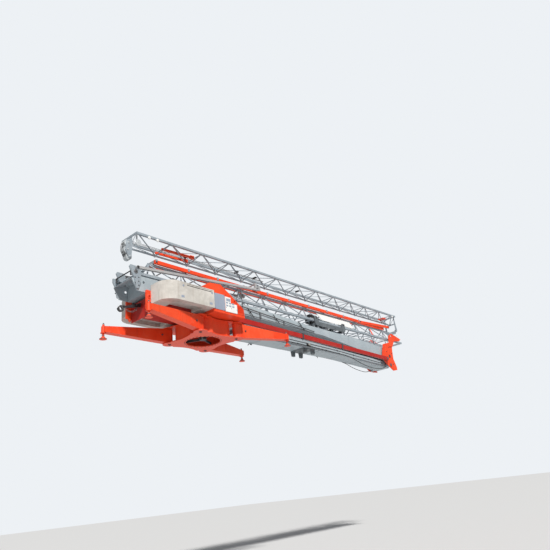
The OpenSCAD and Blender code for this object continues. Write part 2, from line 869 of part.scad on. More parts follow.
module jib_inner_ends() color(zinc) in_jib() {
    c = inner_chord / 2;
    y = inner_half_w;
    x1 = inner_u1;
    // root: bosses on the pivot pins and the cheeks of the king post
    both_sides() {
        cross_rod([0, 0], inner_u0 - 1, y - c, y + c);
        cross_rod([0, 0], mast_pin_r, y + c - 1, head_cheek_out);
        side_plate([[-40, 20], [20, -c], [inner_u0 + 140, -c],
                    [king_pivot.x + 60, king_pivot.y + 60], [king_pivot.x - 190, king_pivot.y + 70],
                    [king_pivot.x - 230, king_pivot.y + 10]],
                   root_cheek_in, y - c - root_cheek_in);
        cross_rod(king_pivot, king_pin_r, root_cheek_in, king_out);
    }
    cross_rod([inner_u0 + 60, -10], 28, -root_cheek_in, root_cheek_in);
    // tip: closing frame and the lugs of the fold
    both_sides() {
        cross_rod([jib_fold_l, fold_pivot_w], fold_lug_r, lug_in, lug_in + lug_t);
        side_plate([[x1, inner_h - 60], [jib_fold_l + 10, fold_pivot_w - fold_lug_r + 1],
                    [jib_fold_l - 10, fold_pivot_w + fold_lug_r - 1], [x1, inner_h + 90]],
                   lug_in, lug_t);
        cross_rod([jib_fold_l, fold_pivot_w], fold_pin_r, lug_in, lug_in + 2 * lug_t + lug_gap);
        bar([x1 + 12, y, 0], [x1 + 12, lug_in + 20, inner_h - 20], 22, 4);
    }
    translate([x1, -lug_in - lug_t, inner_h - 60])
        cube([end_plate_t, 2 * (lug_in + lug_t), 150]);
    translate([x1, -y - c, -c])
        cube([end_plate_t, 2 * (y + c), 2 * c]);
}

// Stay bars, sign and winch on the inner section

module stay_bars() color(orange) in_jib() {
    wall = 6;
    for (s = [-1, 1]) {
        difference() {
            translate([stay_u0, s * stay_half_w - stay_w / 2, stay_w0])
                cube([stay_u1 - stay_u0, stay_w, stay_h]);
            translate([stay_u0 + 60, s * stay_half_w - stay_w / 2 + wall, stay_w0 + wall])
                cube([stay_u1 - stay_u0 - 220, stay_w - 2 * wall, stay_h - 2 * wall]);
        }
        // links at the tip end, risen towards the fold
        translate([stay_u1 - 40, s * stay_half_w, stay_w0 + stay_h / 2])
            rotate([0, -link_rise, 0])
                difference() {
                    translate([0, -stay_w / 2 + 10, -stay_h / 2])
                        cube([link_l, stay_w - 20, stay_h]);
                    translate([220, -stay_w / 2 + 10 + wall, -stay_h / 2 + wall])
                        cube([link_l - 260, stay_w - 20 - 2 * wall, stay_h - 2 * wall]);
                }
    }
}

module stay_clamps() color(zinc) in_jib() {
    out = stay_half_w + stay_w / 2;
    in = stay_half_w - stay_w / 2 - face_gap;
    ridge_top = inner_h + inner_ridge_d / 2 + face_gap;
    top = stay_w0 + stay_h + face_gap;
    for (u = [inner_node_u + 160:panel_l:stay_u1 - 100]) {
        translate([u, -out - 18, top])
            cube([70, 2 * (out + 18), 18]);
        translate([u, -in, ridge_top])
            cube([70, 2 * in, top + 1 - ridge_top]);
        both_sides()
            translate([u, out + face_gap, stay_w0 + stay_h * 0.4])
                cube([70, 18 - face_gap, stay_h * 0.6 + 1]);
    }
}

module sign_board() color([0.95, 0.95, 0.95]) in_jib()
    on_near_face()
        translate([0, 0, sign_seat])
            linear_extrude(sign_t)
                polygon([[sign_u, face_l * 0.13], [sign_u + sign_l - 60, face_l * 0.13],
                         [sign_u + sign_l + 60, face_l * 0.76], [sign_u, face_l * 0.76]]);

module trolley_winch() color(dark) in_jib() {
    seat = lacing_d / 2 + face_gap;
    u = inner_node_u - inner_lean + 7 * panel_l;
    translate([u - 700, -150, seat + 20])
        cube([panel_l + 100, 300, 200]);
    translate([u - 640, -85, seat + 219])
        cube([480, 170, 150]);
    for (x = [u, u + panel_l - 700])
        translate([x - 40, -180, seat])
            cube([80, 360, 21]);
    translate([u + panel_l - 760, 149, seat + 130])
        rotate([-90, 0, 0])
            cylinder(h = 60, r = 85);
}

// Trolley and hook

module trolley() color([0.36, 0.38, 0.36]) in_jib() {
    wheel_w = inner_chord / 2 + face_gap + trolley_wheel_r;
    low = -inner_chord / 2 - trolley_drop;
    l = trolley_half_l;
    both_sides()
        side_plate([[trolley_u - l, wheel_w + 40], [trolley_u - l, low + 60], [trolley_u - l + 80, low],
                    [trolley_u + l - 80, low], [trolley_u + l, low + 60],
                    [trolley_u + l, wheel_w + 40], [trolley_u + l - 200, wheel_w + 40],
                    [trolley_u + l - 260, -70], [trolley_u - l + 260, -70],
                    [trolley_u - l + 200, wheel_w + 40]], trolley_in, 30);
    for (du = [-l + 60, -320, 320, l - 60])
        translate([trolley_u + du - 30, -trolley_in - 1, low + 20])
            cube([60, 2 * trolley_in + 2, 100]);
    for (s = [-1, 1])
        translate([trolley_u - l + 60, s * 110 - 25, low + 30])
            cube([2 * l - 120, 50, 80]);
    for (du = [-l + 100, l - 100])
        both_sides()
            cross_rod([trolley_u + du, wheel_w], trolley_wheel_r, inner_half_w + 12, trolley_in + 1);
}

module hook_block() color([0.10, 0.16, 0.34]) in_jib() {
    low = -inner_chord / 2 - trolley_drop - 45;
    top = low + hook_block_h;
    both_sides()
        side_plate([[trolley_u - 150, top - 40], [trolley_u - 70, low + 20], [trolley_u + 70, low + 20],
                    [trolley_u + 150, top - 40], [trolley_u + 60, top], [trolley_u - 60, top]], 55, 30);
    cross_rod([trolley_u, top - 70], 62, -56, 56);
    translate([trolley_u, 0, low])
        cylinder(h = 60, r = 40);
}

// Outer jib section, folded back over the inner one

module jib_outer_lattice() color(zinc) in_outer() {
    y = outer_half_w;
    d = lacing_d - 5;
    tail = last_node(outer_node_u, outer_last_u);
    difference() {
        union() {
            both_sides()
                chord(outer_u0, outer_u1, y, outer_pair_w, outer_chord);
            bar([outer_u0, 0, outer_ridge_w], [outer_u1, 0, outer_ridge_w], outer_ridge_d, 8);
            lattice(outer_node_u, outer_last_u, y, outer_pair_w, outer_ridge_w, outer_lean, d);
            for (s = [-1, 1]) {
                bar([outer_u0 + 40, s * y, outer_pair_w],
                    [outer_node_u - outer_lean, 0, outer_ridge_w], d);
                bar([tail, s * y, outer_pair_w], [outer_u1 - 20, 0, outer_ridge_w], d);
            }
        }
        both_sides()
            chord(outer_u0, outer_u1, y, outer_pair_w, outer_chord, chord_wall);
    }
}

module jib_outer_ends() color(zinc) in_outer() {
    c = outer_chord / 2;
    y = outer_half_w;
    x0 = outer_u0;
    x1 = outer_u1;
    r = outer_ridge_d / 2;
    // fold end: closing frame and lugs
    both_sides() {
        difference() {
            union() {
                cross_rod([jib_fold_l, fold_pivot_w], fold_lug_r, outer_lug_in, outer_lug_in + lug_t);
                side_plate([[x1, outer_pair_w + c], [x1 + end_plate_t, outer_pair_w + c],
                            [jib_fold_l + fold_lug_r - 4, fold_pivot_w + 20],
                            [jib_fold_l - fold_lug_r + 4, fold_pivot_w], [x1, fold_pivot_w + 120]],
                           outer_lug_in, lug_t);
            }
            cross_rod([jib_fold_l, fold_pivot_w], fold_pin_r + pin_gap, outer_lug_in - 1,
                      outer_lug_in + lug_t + 1);
        }
        bar([x1 + 12, y, outer_pair_w], [x1 + 12, 0, outer_ridge_w], 22, 4);
    }
    translate([x1, -y - c, outer_pair_w - c])
        cube([end_plate_t, 2 * (y + c), 2 * c]);
    translate([x1, -outer_lug_in - lug_t, outer_ridge_w - r])
        cube([end_plate_t, 2 * (outer_lug_in + lug_t), 2 * r]);
    // head end: closing frame and the cheeks of the rope sheaves
    translate([x0 - end_plate_t, -y - c, outer_pair_w - c])
        cube([end_plate_t, 2 * (y + c), 2 * c]);
    both_sides() {
        bar([x0 - 12, y, outer_pair_w], [x0 - 12, 0, outer_ridge_w], 22, 4);
        difference() {
            side_plate([[x0 - 0.5, outer_pair_w - 40], [x0 - 0.5, outer_ridge_w - r],
                        [sheave_axes[2].x + 55, sheave_axes[2].y - 30],
                        [sheave_axes[2].x - 20, sheave_axes[2].y - 55],
                        [sheave_axes[2].x - 60, sheave_axes[2].y + 10],
                        [sheave_axes[1].x - 65, sheave_axes[1].y - 20],
                        [sheave_axes[1].x - 60, sheave_axes[1].y + 60],
                        [sheave_axes[0].x - 50, sheave_axes[0].y + 60]],
                       head_plate_in, 25);
            for (a = sheave_axes)
                cross_rod(a, head_axle_r + face_gap, head_plate_in - 1, head_plate_in + 26);
        }
    }
}

module jib_head_sheaves() color(zinc) in_outer() {
    for (i = [0:2]) {
        a = sheave_axes[i];
        r = sheave_radii[i];
        cross_rod(a, head_axle_r, -head_plate_in - 40, head_plate_in + 40);
        for (y = [-60, 0, 60])
            difference() {
                cross_rod(a, r, y - 22, y + 22);
                if (y == 0)
                    cross_rod(a, head_axle_r - 1, -21, 21);
            }
        cross_rod(a, head_axle_r + 20, -head_plate_in + face_gap, head_plate_in - face_gap);
    }
}

// King post, folded on the inner section

// Frame of the folded king post: origin at its pivot, +X along its legs
module in_king() {
    in_jib()
        translate([king_pivot.x, 0, king_pivot.y])
            rotate([0, -king_rise, 0])
                children();
}

function king_head() = [king_l - 10, (king_tube_w - king_pivot.y - king_l * sin(king_rise)) / cos(king_rise)];

module king_post() color([0.80, 0.79, 0.78]) in_king() {
    head = king_head();
    both_sides()
        difference() {
            union() {
                translate([0, king_in, -king_bar_h / 2])
                    cube([king_l, king_bar_w, king_bar_h]);
                cross_rod([0, 0], king_bar_h / 2 + 10, king_in, king_out);
                // post of the head, up past the stay bars
                translate([king_l - 250, king_in, -king_bar_h / 2])
                    cube([80, king_bar_w, head.y + king_bar_h / 2 + king_tube_r + 8]);
                cross_rod([king_l - 40, head.y - 105], king_tube_r, king_in - 140, king_out);
                cross_rod([king_l - 40, head.y - 105], 55, king_in, king_out);
                side_plate([[king_l - 240, 0], [king_l, 0], [king_l + 10, head.y - 120],
                            [king_l - 60, head.y - 55], [king_l - 240, head.y - 60]], king_in, 20);
            }
            cross_rod([0, 0], king_pin_r + pin_gap, king_in - 1, king_out + 1);
            translate([150, king_in + 8, -king_bar_h / 2 + 8])
                cube([king_l - 450, king_bar_w - 16, king_bar_h - 16]);
        }
    cross_rod([king_l - 210, head.y], king_tube_r, -king_half_w, king_half_w);
}

module king_post_sheaves() color(zinc) in_king() {
    a = [king_l - 40, king_head().y - 105];
    both_sides()
        difference() {
            cross_rod(a, king_sheave_r, king_in - 100, king_in - 40);
            cross_rod(a, king_tube_r + face_gap, king_in - 101, king_in - 39);
        }
}

// Crane moved so that its origin lies under the middle of its length
module placed() {
    translate([-middle_x, 0, -ground_z])
        children();
}

module leg_front_near() color(orange) leg(front_near);
module leg_front_far() color(orange) leg(front_far);
module leg_rear_near() color(orange) leg(rear_near);
module leg_rear_far() color(orange) leg(rear_far);
module jack_front_near() color(orange) jack(front_near);
module jack_front_far() color(orange) jack(front_far);
module jack_rear_near() color(orange) jack(rear_near);
module jack_rear_far() color(orange) jack(rear_far);

placed() base_frame();
placed() leg_hinge_pins();
placed() slewing_ring_lower();
placed() leg_front_near();
placed() leg_front_far();
placed() leg_rear_near();
placed() leg_rear_far();
placed() jack_front_near();
placed() jack_front_far();
placed() jack_rear_near();
placed() jack_rear_far();
placed() slewing_ring_upper();
placed() platform_frame();
placed() mast_foot_cheeks();
placed() rear_posts();
placed() rear_hook();
placed() ballast_near();
placed() ballast_far();
placed() housing_near();
placed() housing_far();
placed() control_panel();
placed() cover_panel();
placed() lower_mast();
placed() axle_brackets();
placed() guide_struts();
placed() knuckle_plates();
placed() rest_levers();
placed() upper_mast();
placed() mast_head_cheeks();
placed() mast_rail();
placed() jib_inner_lattice();
placed() jib_inner_ends();
placed() stay_bars();
placed() stay_clamps();
placed() sign_board();
placed() trolley_winch();
placed() trolley();
placed() hook_block();
placed() jib_outer_lattice();
placed() jib_outer_ends();
placed() jib_head_sheaves();
placed() king_post();
placed() king_post_sheaves();
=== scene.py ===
"""Folded self-erecting tower crane: materials, fittings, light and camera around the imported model."""
import math

import bpy
from mathutils import Matrix, Vector


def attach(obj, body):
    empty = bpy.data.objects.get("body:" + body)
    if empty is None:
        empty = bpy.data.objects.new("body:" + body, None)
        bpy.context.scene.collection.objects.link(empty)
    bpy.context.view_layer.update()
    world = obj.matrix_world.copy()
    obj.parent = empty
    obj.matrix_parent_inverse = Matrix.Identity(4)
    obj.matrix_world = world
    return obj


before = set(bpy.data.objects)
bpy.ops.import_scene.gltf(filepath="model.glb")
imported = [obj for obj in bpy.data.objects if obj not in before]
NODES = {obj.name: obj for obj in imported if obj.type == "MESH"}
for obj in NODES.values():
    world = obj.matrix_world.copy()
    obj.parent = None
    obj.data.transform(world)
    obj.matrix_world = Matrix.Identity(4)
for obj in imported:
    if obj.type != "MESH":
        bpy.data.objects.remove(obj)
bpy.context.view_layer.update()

# Places on the crane

MIDDLE_X = 4.889481          # from the slewing axis to the middle of the folded crane
PAD_UNDERSIDE = 0.08         # from the drawing's datum to the ground under the pads
TILT = math.radians(0.45)    # rise of the folded jib
ROOT = (-2.82, 1.65)         # the jib's root pivot
FOLD = (15.62, 0.7075)       # the fold pivot, along the jib and above its lower chords
FOLD_GAP = math.radians(0.35)
KING = (0.12, 0.185)         # the king post's pivot on the jib
KING_RISE = math.radians(4.7)
PANEL = 1.255                # spacing of the lattice nodes
NEAR, FAR = -1, 1


def at(x, y, z):
    """A place given from the slewing axis and the drawing's datum."""
    return Vector((x - MIDDLE_X, y, z - PAD_UNDERSIDE))


def jib(u, y, w):
    """A place on the jib: u along its chords from the root pivot, w above the lower chords."""
    return at(ROOT[0] + u * math.cos(TILT) - w * math.sin(TILT), y,
              ROOT[1] + u * math.sin(TILT) + w * math.cos(TILT))


def outer(u, y, w):
    """A place on the outer section, which lies turned a little about the fold pivot."""
    du, dw = u - FOLD[0], w - FOLD[1]
    return jib(FOLD[0] + du * math.cos(FOLD_GAP) - dw * math.sin(FOLD_GAP), y,
               FOLD[1] + du * math.sin(FOLD_GAP) + dw * math.cos(FOLD_GAP))


def king(u, y, w):
    """A place on the folded king post: u along its legs from its pivot."""
    return jib(KING[0] + u * math.cos(KING_RISE) - w * math.sin(KING_RISE), y,
               KING[1] + u * math.sin(KING_RISE) + w * math.cos(KING_RISE))


def leg_point(side_x, side_y, s, across, z):
    """A place on a folded leg: s along it from its hinge."""
    a = math.radians(9.8)
    return at(side_x * (0.74 + s * math.cos(a) - across * math.sin(a)),
              side_y * (0.74 + s * math.sin(a) + across * math.cos(a)), z)


# Camera

CAMERA = bpy.data.objects.new("camera", bpy.data.cameras.new("camera"))
bpy.context.scene.collection.objects.link(CAMERA)
bpy.context.scene.camera = CAMERA
yaw, pitch, roll = (math.radians(a) for a in (39.147, 23.194, -6.542))
level = Vector((math.cos(yaw), math.sin(yaw), 0))
ahead = level * math.cos(pitch) + Vector((0, 0, math.sin(pitch)))
over = -level * math.sin(pitch) + Vector((0, 0, math.cos(pitch)))
side = Vector((math.sin(yaw), -math.cos(yaw), 0))
right = side * math.cos(roll) + over * math.sin(roll)
top = over * math.cos(roll) - side * math.sin(roll)
CAMERA.matrix_world = Matrix.Translation(at(-10.517, -11.771, -4.565)) @ Matrix(
    (right, top, -ahead)).transposed().to_4x4()
CAMERA.data.sensor_width = 36
CAMERA.data.lens = 36 * 513.506 / 550
CAMERA.data.clip_end = 400

# Shader expressions


class Graph:
    """The nodes of one material."""

    def __init__(self, name):
        self.material = bpy.data.materials.new(name)
        self.material.use_nodes = True
        self.tree = self.material.node_tree
        self.shader = self.tree.nodes["Principled BSDF"]
        self.place = self.node("ShaderNodeTexCoord", out="Object")

    def node(self, kind, settings=None, inputs=None, out=0):
        made = self.tree.nodes.new(kind)
        for key, value in (settings or {}).items():
            if key == "stops":
                ramp = made.color_ramp
                for i, (where, tone) in enumerate(value):
                    stop = ramp.elements[i] if i < 2 else ramp.elements.new(where)
                    stop.position = where
                    stop.color = tone if isinstance(tone, tuple) else (tone, tone, tone, 1)
            else:
                setattr(made, key, value)
        for key, value in (inputs or {}).items():
            if isinstance(value, Value):
                self.tree.links.new(value.socket, made.inputs[key])
            else:
                made.inputs[key].default_value = value
        return Value(self, made.outputs[out])

    def noise(self, scale, detail=4, rough=0.55, stretch=None, warp=0.0):
        place = self.place
        if stretch:
            place = self.node("ShaderNodeMapping", None, {"Vector": place, "Scale": stretch})
        return self.node("ShaderNodeTexNoise", None,
                         {"Vector": place, "Scale": scale, "Detail": detail, "Roughness": rough,
                          "Distortion": warp})

    def cells(self, scale, feature="F1", out="Distance"):
        return self.node("ShaderNodeTexVoronoi", {"feature": feature},
                         {"Vector": self.place, "Scale": scale}, out)

    def step(self, value, low, high):
        """0 below low and 1 above high, with a smooth rise between."""
        return self.node("ShaderNodeMapRange", {"interpolation_type": "SMOOTHSTEP"},
                         {"Value": value, "From Min": low, "From Max": high})

    def mix(self, share, first, second):
        inputs = {0: share, 6: first, 7: second}
        return self.node("ShaderNodeMix", {"data_type": "RGBA"}, inputs, 2)

    def edges(self, radius):
        """1 along the edges of the metal, 0 on flat faces."""
        round_normal = self.node("ShaderNodeBevel", {"samples": 4}, {"Radius": radius})
        normal = self.node("ShaderNodeNewGeometry", out="Normal")
        facing = self.node("ShaderNodeVectorMath", {"operation": "DOT_PRODUCT"},
                           {0: round_normal, 1: normal}, "Value")
        return self.step(1 - facing, 0.01, 0.16)

    def facing_up(self):
        normal = self.node("ShaderNodeNewGeometry", out="Normal")
        return self.node("ShaderNodeSeparateXYZ", None, {0: normal}, "Z")

    def bump(self, height, distance, strength=1.0):
        self.set("Normal", self.node("ShaderNodeBump", None,
                                     {"Height": height, "Distance": distance, "Strength": strength}))

    def set(self, name, value):
        if isinstance(value, Value):
            self.tree.links.new(value.socket, self.shader.inputs[name])
        else:
            self.shader.inputs[name].default_value = value
        return self


class Value:
    """A socket that takes part in sums."""

    def __init__(self, graph, socket):
        self.graph, self.socket = graph, socket

    def maths(self, operation, first, second):
        return self.graph.node("ShaderNodeMath", {"operation": operation}, {0: first, 1: second})

    def __add__(self, other):
        return self.maths("ADD", self, other)

    def __sub__(self, other):
        return self.maths("SUBTRACT", self, other)

    def __rsub__(self, other):
        return self.maths("SUBTRACT", other, self)

    def __mul__(self, other):
        return self.maths("MULTIPLY", self, other)

    __radd__ = __add__
    __rmul__ = __mul__


def tone(red, green, blue):
    """A colour as it looks on screen, for the shader."""
    return tuple(c / 12.92 if c <= 0.04045 else ((c + 0.055) / 1.055) ** 2.4
                 for c in (red, green, blue)) + (1,)


# Finishes


def enamel(name, colour, faded, dirt, rough=0.38, chips=0.5, streak=0.5):
    """Sprayed enamel on steel plate: it fades in clouds, has rain streaks, dust and worn edges."""
    g = Graph(name)
    clouds = g.step(g.noise(1.3, 6, 0.6), 0.35, 0.7)
    fine = g.noise(38, 4, 0.6)
    rain = g.step(g.noise(2.2, 5, 0.62, stretch=(3.4, 3.4, 0.28)), 0.52, 0.78) * streak
    dust = g.step(g.noise(5.5, 6, 0.7, warp=0.6) + 0.18 * g.facing_up(), 0.52, 0.86)
    worn = g.edges(0.012) * g.step(g.noise(16, 3, 0.7), 0.5, 0.62) * chips
    base = g.mix(clouds * 0.55, tone(*colour), tone(*faded))
    base = g.mix(fine * 0.16, base, tone(*dirt))
    base = g.mix(dust * 0.22, base, tone(0.66, 0.61, 0.55))
    base = g.mix(rain * 0.42, base, tone(*dirt))
    base = g.mix(worn, base, tone(0.32, 0.26, 0.22))
    g.set("Base Color", base)
    g.set("Roughness", rough + 0.22 * dust + 0.1 * clouds + 0.12 * fine)
    g.set("Coat Weight", 0.12 * (1 - dust))
    g.bump(fine * 0.5 + g.noise(3.0, 2) * 1.0 - worn * 1.2, 0.0016, 0.5)
    return g.material


def galvanised(name, light, shade, rough=0.5):
    """Hot-dip zinc: pale crystals, duller patches and a little white bloom."""
    g = Graph(name)
    spangle = g.node("ShaderNodeSeparateColor", None, {0: g.cells(46, out="Color")}, 0)
    patches = g.step(g.noise(3.2, 5, 0.6), 0.36, 0.68)
    bloom = g.step(g.noise(9, 6, 0.7, warp=0.5), 0.58, 0.8)
    grime = g.step(g.noise(4.0, 5, 0.65, stretch=(1, 1, 0.4)), 0.55, 0.82)
    base = g.mix(spangle * 0.4 + patches * 0.35, tone(*light), tone(*shade))
    base = g.mix(bloom * 0.4, base, tone(0.84, 0.86, 0.87))
    base = g.mix(grime * 0.35, base, tone(0.40, 0.38, 0.35))
    g.set("Base Color", base).set("Metallic", 0.35 - 0.25 * bloom)
    g.set("Roughness", rough + 0.12 * spangle + 0.15 * bloom)
    g.bump(spangle * 0.3 + g.noise(60, 3) * 0.5, 0.0008, 0.4)
    return g.material


def concrete(name):
    """Cast concrete: clouds, grey laitance, blowholes and run-off stains from the top."""
    g = Graph(name)
    clouds = g.step(g.noise(2.0, 7, 0.62, warp=0.4), 0.3, 0.72)
    grain = g.noise(95, 4, 0.7)
    holes = 1 - g.step(g.cells(30), 0.05, 0.13)
    where = g.step(g.noise(7, 3), 0.46, 0.6)
    stain = g.step(g.noise(2.6, 6, 0.65, stretch=(3.2, 3.2, 0.3)), 0.5, 0.76)
    green = g.step(g.noise(1.4, 5, 0.6), 0.56, 0.74)
    base = g.mix(clouds, tone(0.84, 0.83, 0.81), tone(0.71, 0.70, 0.68))
    base = g.mix(grain * 0.35, base, tone(0.60, 0.56, 0.51))
    base = g.mix(stain * 0.38, base, tone(0.52, 0.46, 0.40))
    base = g.mix(green * 0.16, base, tone(0.50, 0.50, 0.40))
    base = g.mix(holes * where * 0.7, base, tone(0.34, 0.31, 0.28))
    g.set("Base Color", base).set("Roughness", 0.86 + 0.1 * grain)
    g.bump(grain * 0.6 + clouds * 1.6 - holes * where * 2.2, 0.0022, 0.75)
    return g.material


def machined(name, colour, rough=0.34, metal=0.85):
    """Turned or rolled steel with a greasy film."""
    g = Graph(name)
    turned = g.noise(120, 2, 0.5, stretch=(1, 1, 9))
    grease = g.step(g.noise(14, 5, 0.6), 0.5, 0.72)
    base = g.mix(turned * 0.4, tone(*colour), tone(*(c * 0.7 for c in colour)))
    base = g.mix(grease * 0.45, base, tone(0.10, 0.085, 0.07))
    g.set("Base Color", base).set("Metallic", metal * (1 - 0.5 * grease))
    g.set("Roughness", rough + 0.2 * turned + 0.1 * grease)
    g.bump(turned, 0.0004, 0.4)
    return g.material


def rubber(name, colour=(0.09, 0.09, 0.10)):
    """Cable sheath and hose: matt, dusty and faintly ribbed."""
    g = Graph(name)
    dust = g.step(g.noise(12, 5, 0.7), 0.45, 0.8)
    g.set("Base Color", g.mix(dust * 0.35, tone(*colour), tone(0.42, 0.39, 0.36)))
    g.set("Roughness", 0.62 + 0.2 * dust)
    g.bump(g.noise(150, 2), 0.0005, 0.4)
    return g.material


ORANGE = enamel("orange_enamel", (0.92, 0.25, 0.08), (0.95, 0.35, 0.17), (0.50, 0.10, 0.06))
# Dark red enamel. On the platform frame and the guide struts it is painted shade: their orange paint drawn
# in the dark red of its shaded faces. The panel button is red.
DARK_RED_AND_PAINTED_SHADE = enamel("dark_red_enamel_and_painted_shade", (0.66, 0.10, 0.08), (0.72, 0.18, 0.12), (0.30, 0.06, 0.05))
GREY = enamel("mast_grey_enamel", (0.63, 0.68, 0.71), (0.72, 0.76, 0.78), (0.42, 0.43, 0.43),
              rough=0.42, streak=0.7)
PANEL_GREY = enamel("cover_grey_enamel", (0.56, 0.60, 0.67), (0.62, 0.66, 0.72), (0.40, 0.41, 0.44),
                    chips=0.2)
WHITE = enamel("white_enamel", (0.93, 0.94, 0.94), (0.88, 0.89, 0.88), (0.62, 0.60, 0.57),
               rough=0.3, chips=0.2, streak=0.35)
DARK = enamel("black_enamel", (0.12, 0.13, 0.15), (0.19, 0.20, 0.22), (0.28, 0.25, 0.22),
              rough=0.42, streak=0.3)
NAVY = enamel("navy_enamel", (0.08, 0.13, 0.33), (0.14, 0.20, 0.40), (0.10, 0.09, 0.10), rough=0.3)
GREY_DARK = enamel("mid_grey_enamel", (0.36, 0.39, 0.41), (0.45, 0.48, 0.50), (0.24, 0.23, 0.22),
                   rough=0.45)
ZINC = galvanised("galvanised_steel", (0.68, 0.72, 0.75), (0.52, 0.57, 0.61))
PALE_ZINC = galvanised("fresh_galvanised_steel", (0.82, 0.84, 0.85), (0.70, 0.73, 0.75), 0.42)
POST = galvanised("king_post_zinc", (0.74, 0.74, 0.74), (0.61, 0.62, 0.64), 0.55)
CONCRETE = concrete("cast_concrete")
STEEL = machined("turned_steel", (0.56, 0.56, 0.57))
BOLT = machined("bolt_steel", (0.40, 0.40, 0.41), 0.42, 0.7)
ROPE = machined("wire_rope", (0.34, 0.33, 0.32), 0.5, 0.6)
RUBBER = rubber("cable_sheath")
GLASS = enamel("lamp_lens", (0.86, 0.87, 0.84), (0.92, 0.92, 0.88), (0.60, 0.58, 0.50), rough=0.12,
               chips=0, streak=0.1)

NODE_FINISH = {
    ORANGE: ["base_frame", "leg_front_near", "leg_front_far", "leg_rear_near", "leg_rear_far",
             "jack_front_near", "jack_front_far", "jack_rear_near", "jack_rear_far",
             "mast_foot_cheeks", "rear_posts", "housing_near", "housing_far", "knuckle_plates",
             "rest_levers", "stay_bars"],
    # Painted shade: the platform frame and guide struts are orange paint given the dark red of its shaded
    # faces.
    DARK_RED_AND_PAINTED_SHADE: ["platform_frame", "guide_struts"],
    GREY: ["lower_mast", "upper_mast"],
    CONCRETE: ["ballast_near", "ballast_far"],
    DARK: ["rear_hook", "trolley_winch"],
    GREY_DARK: ["axle_brackets", "trolley", "mast_rail"],
    STEEL: ["leg_hinge_pins", "slewing_ring_lower", "slewing_ring_upper"],
    WHITE: ["control_panel", "sign_board"],
    PANEL_GREY: ["cover_panel"],
    NAVY: ["hook_block"],
    ZINC: ["jib_inner_lattice", "jib_inner_ends", "jib_outer_lattice", "jib_outer_ends",
           "mast_head_cheeks", "stay_clamps"],
    PALE_ZINC: ["jib_head_sheaves", "king_post_sheaves"],
    POST: ["king_post"],
}
for finish, names in NODE_FINISH.items():
    for name in names:
        piece = NODES[name]
        piece.data.materials.clear()
        piece.data.materials.append(finish)

# Mesh tools


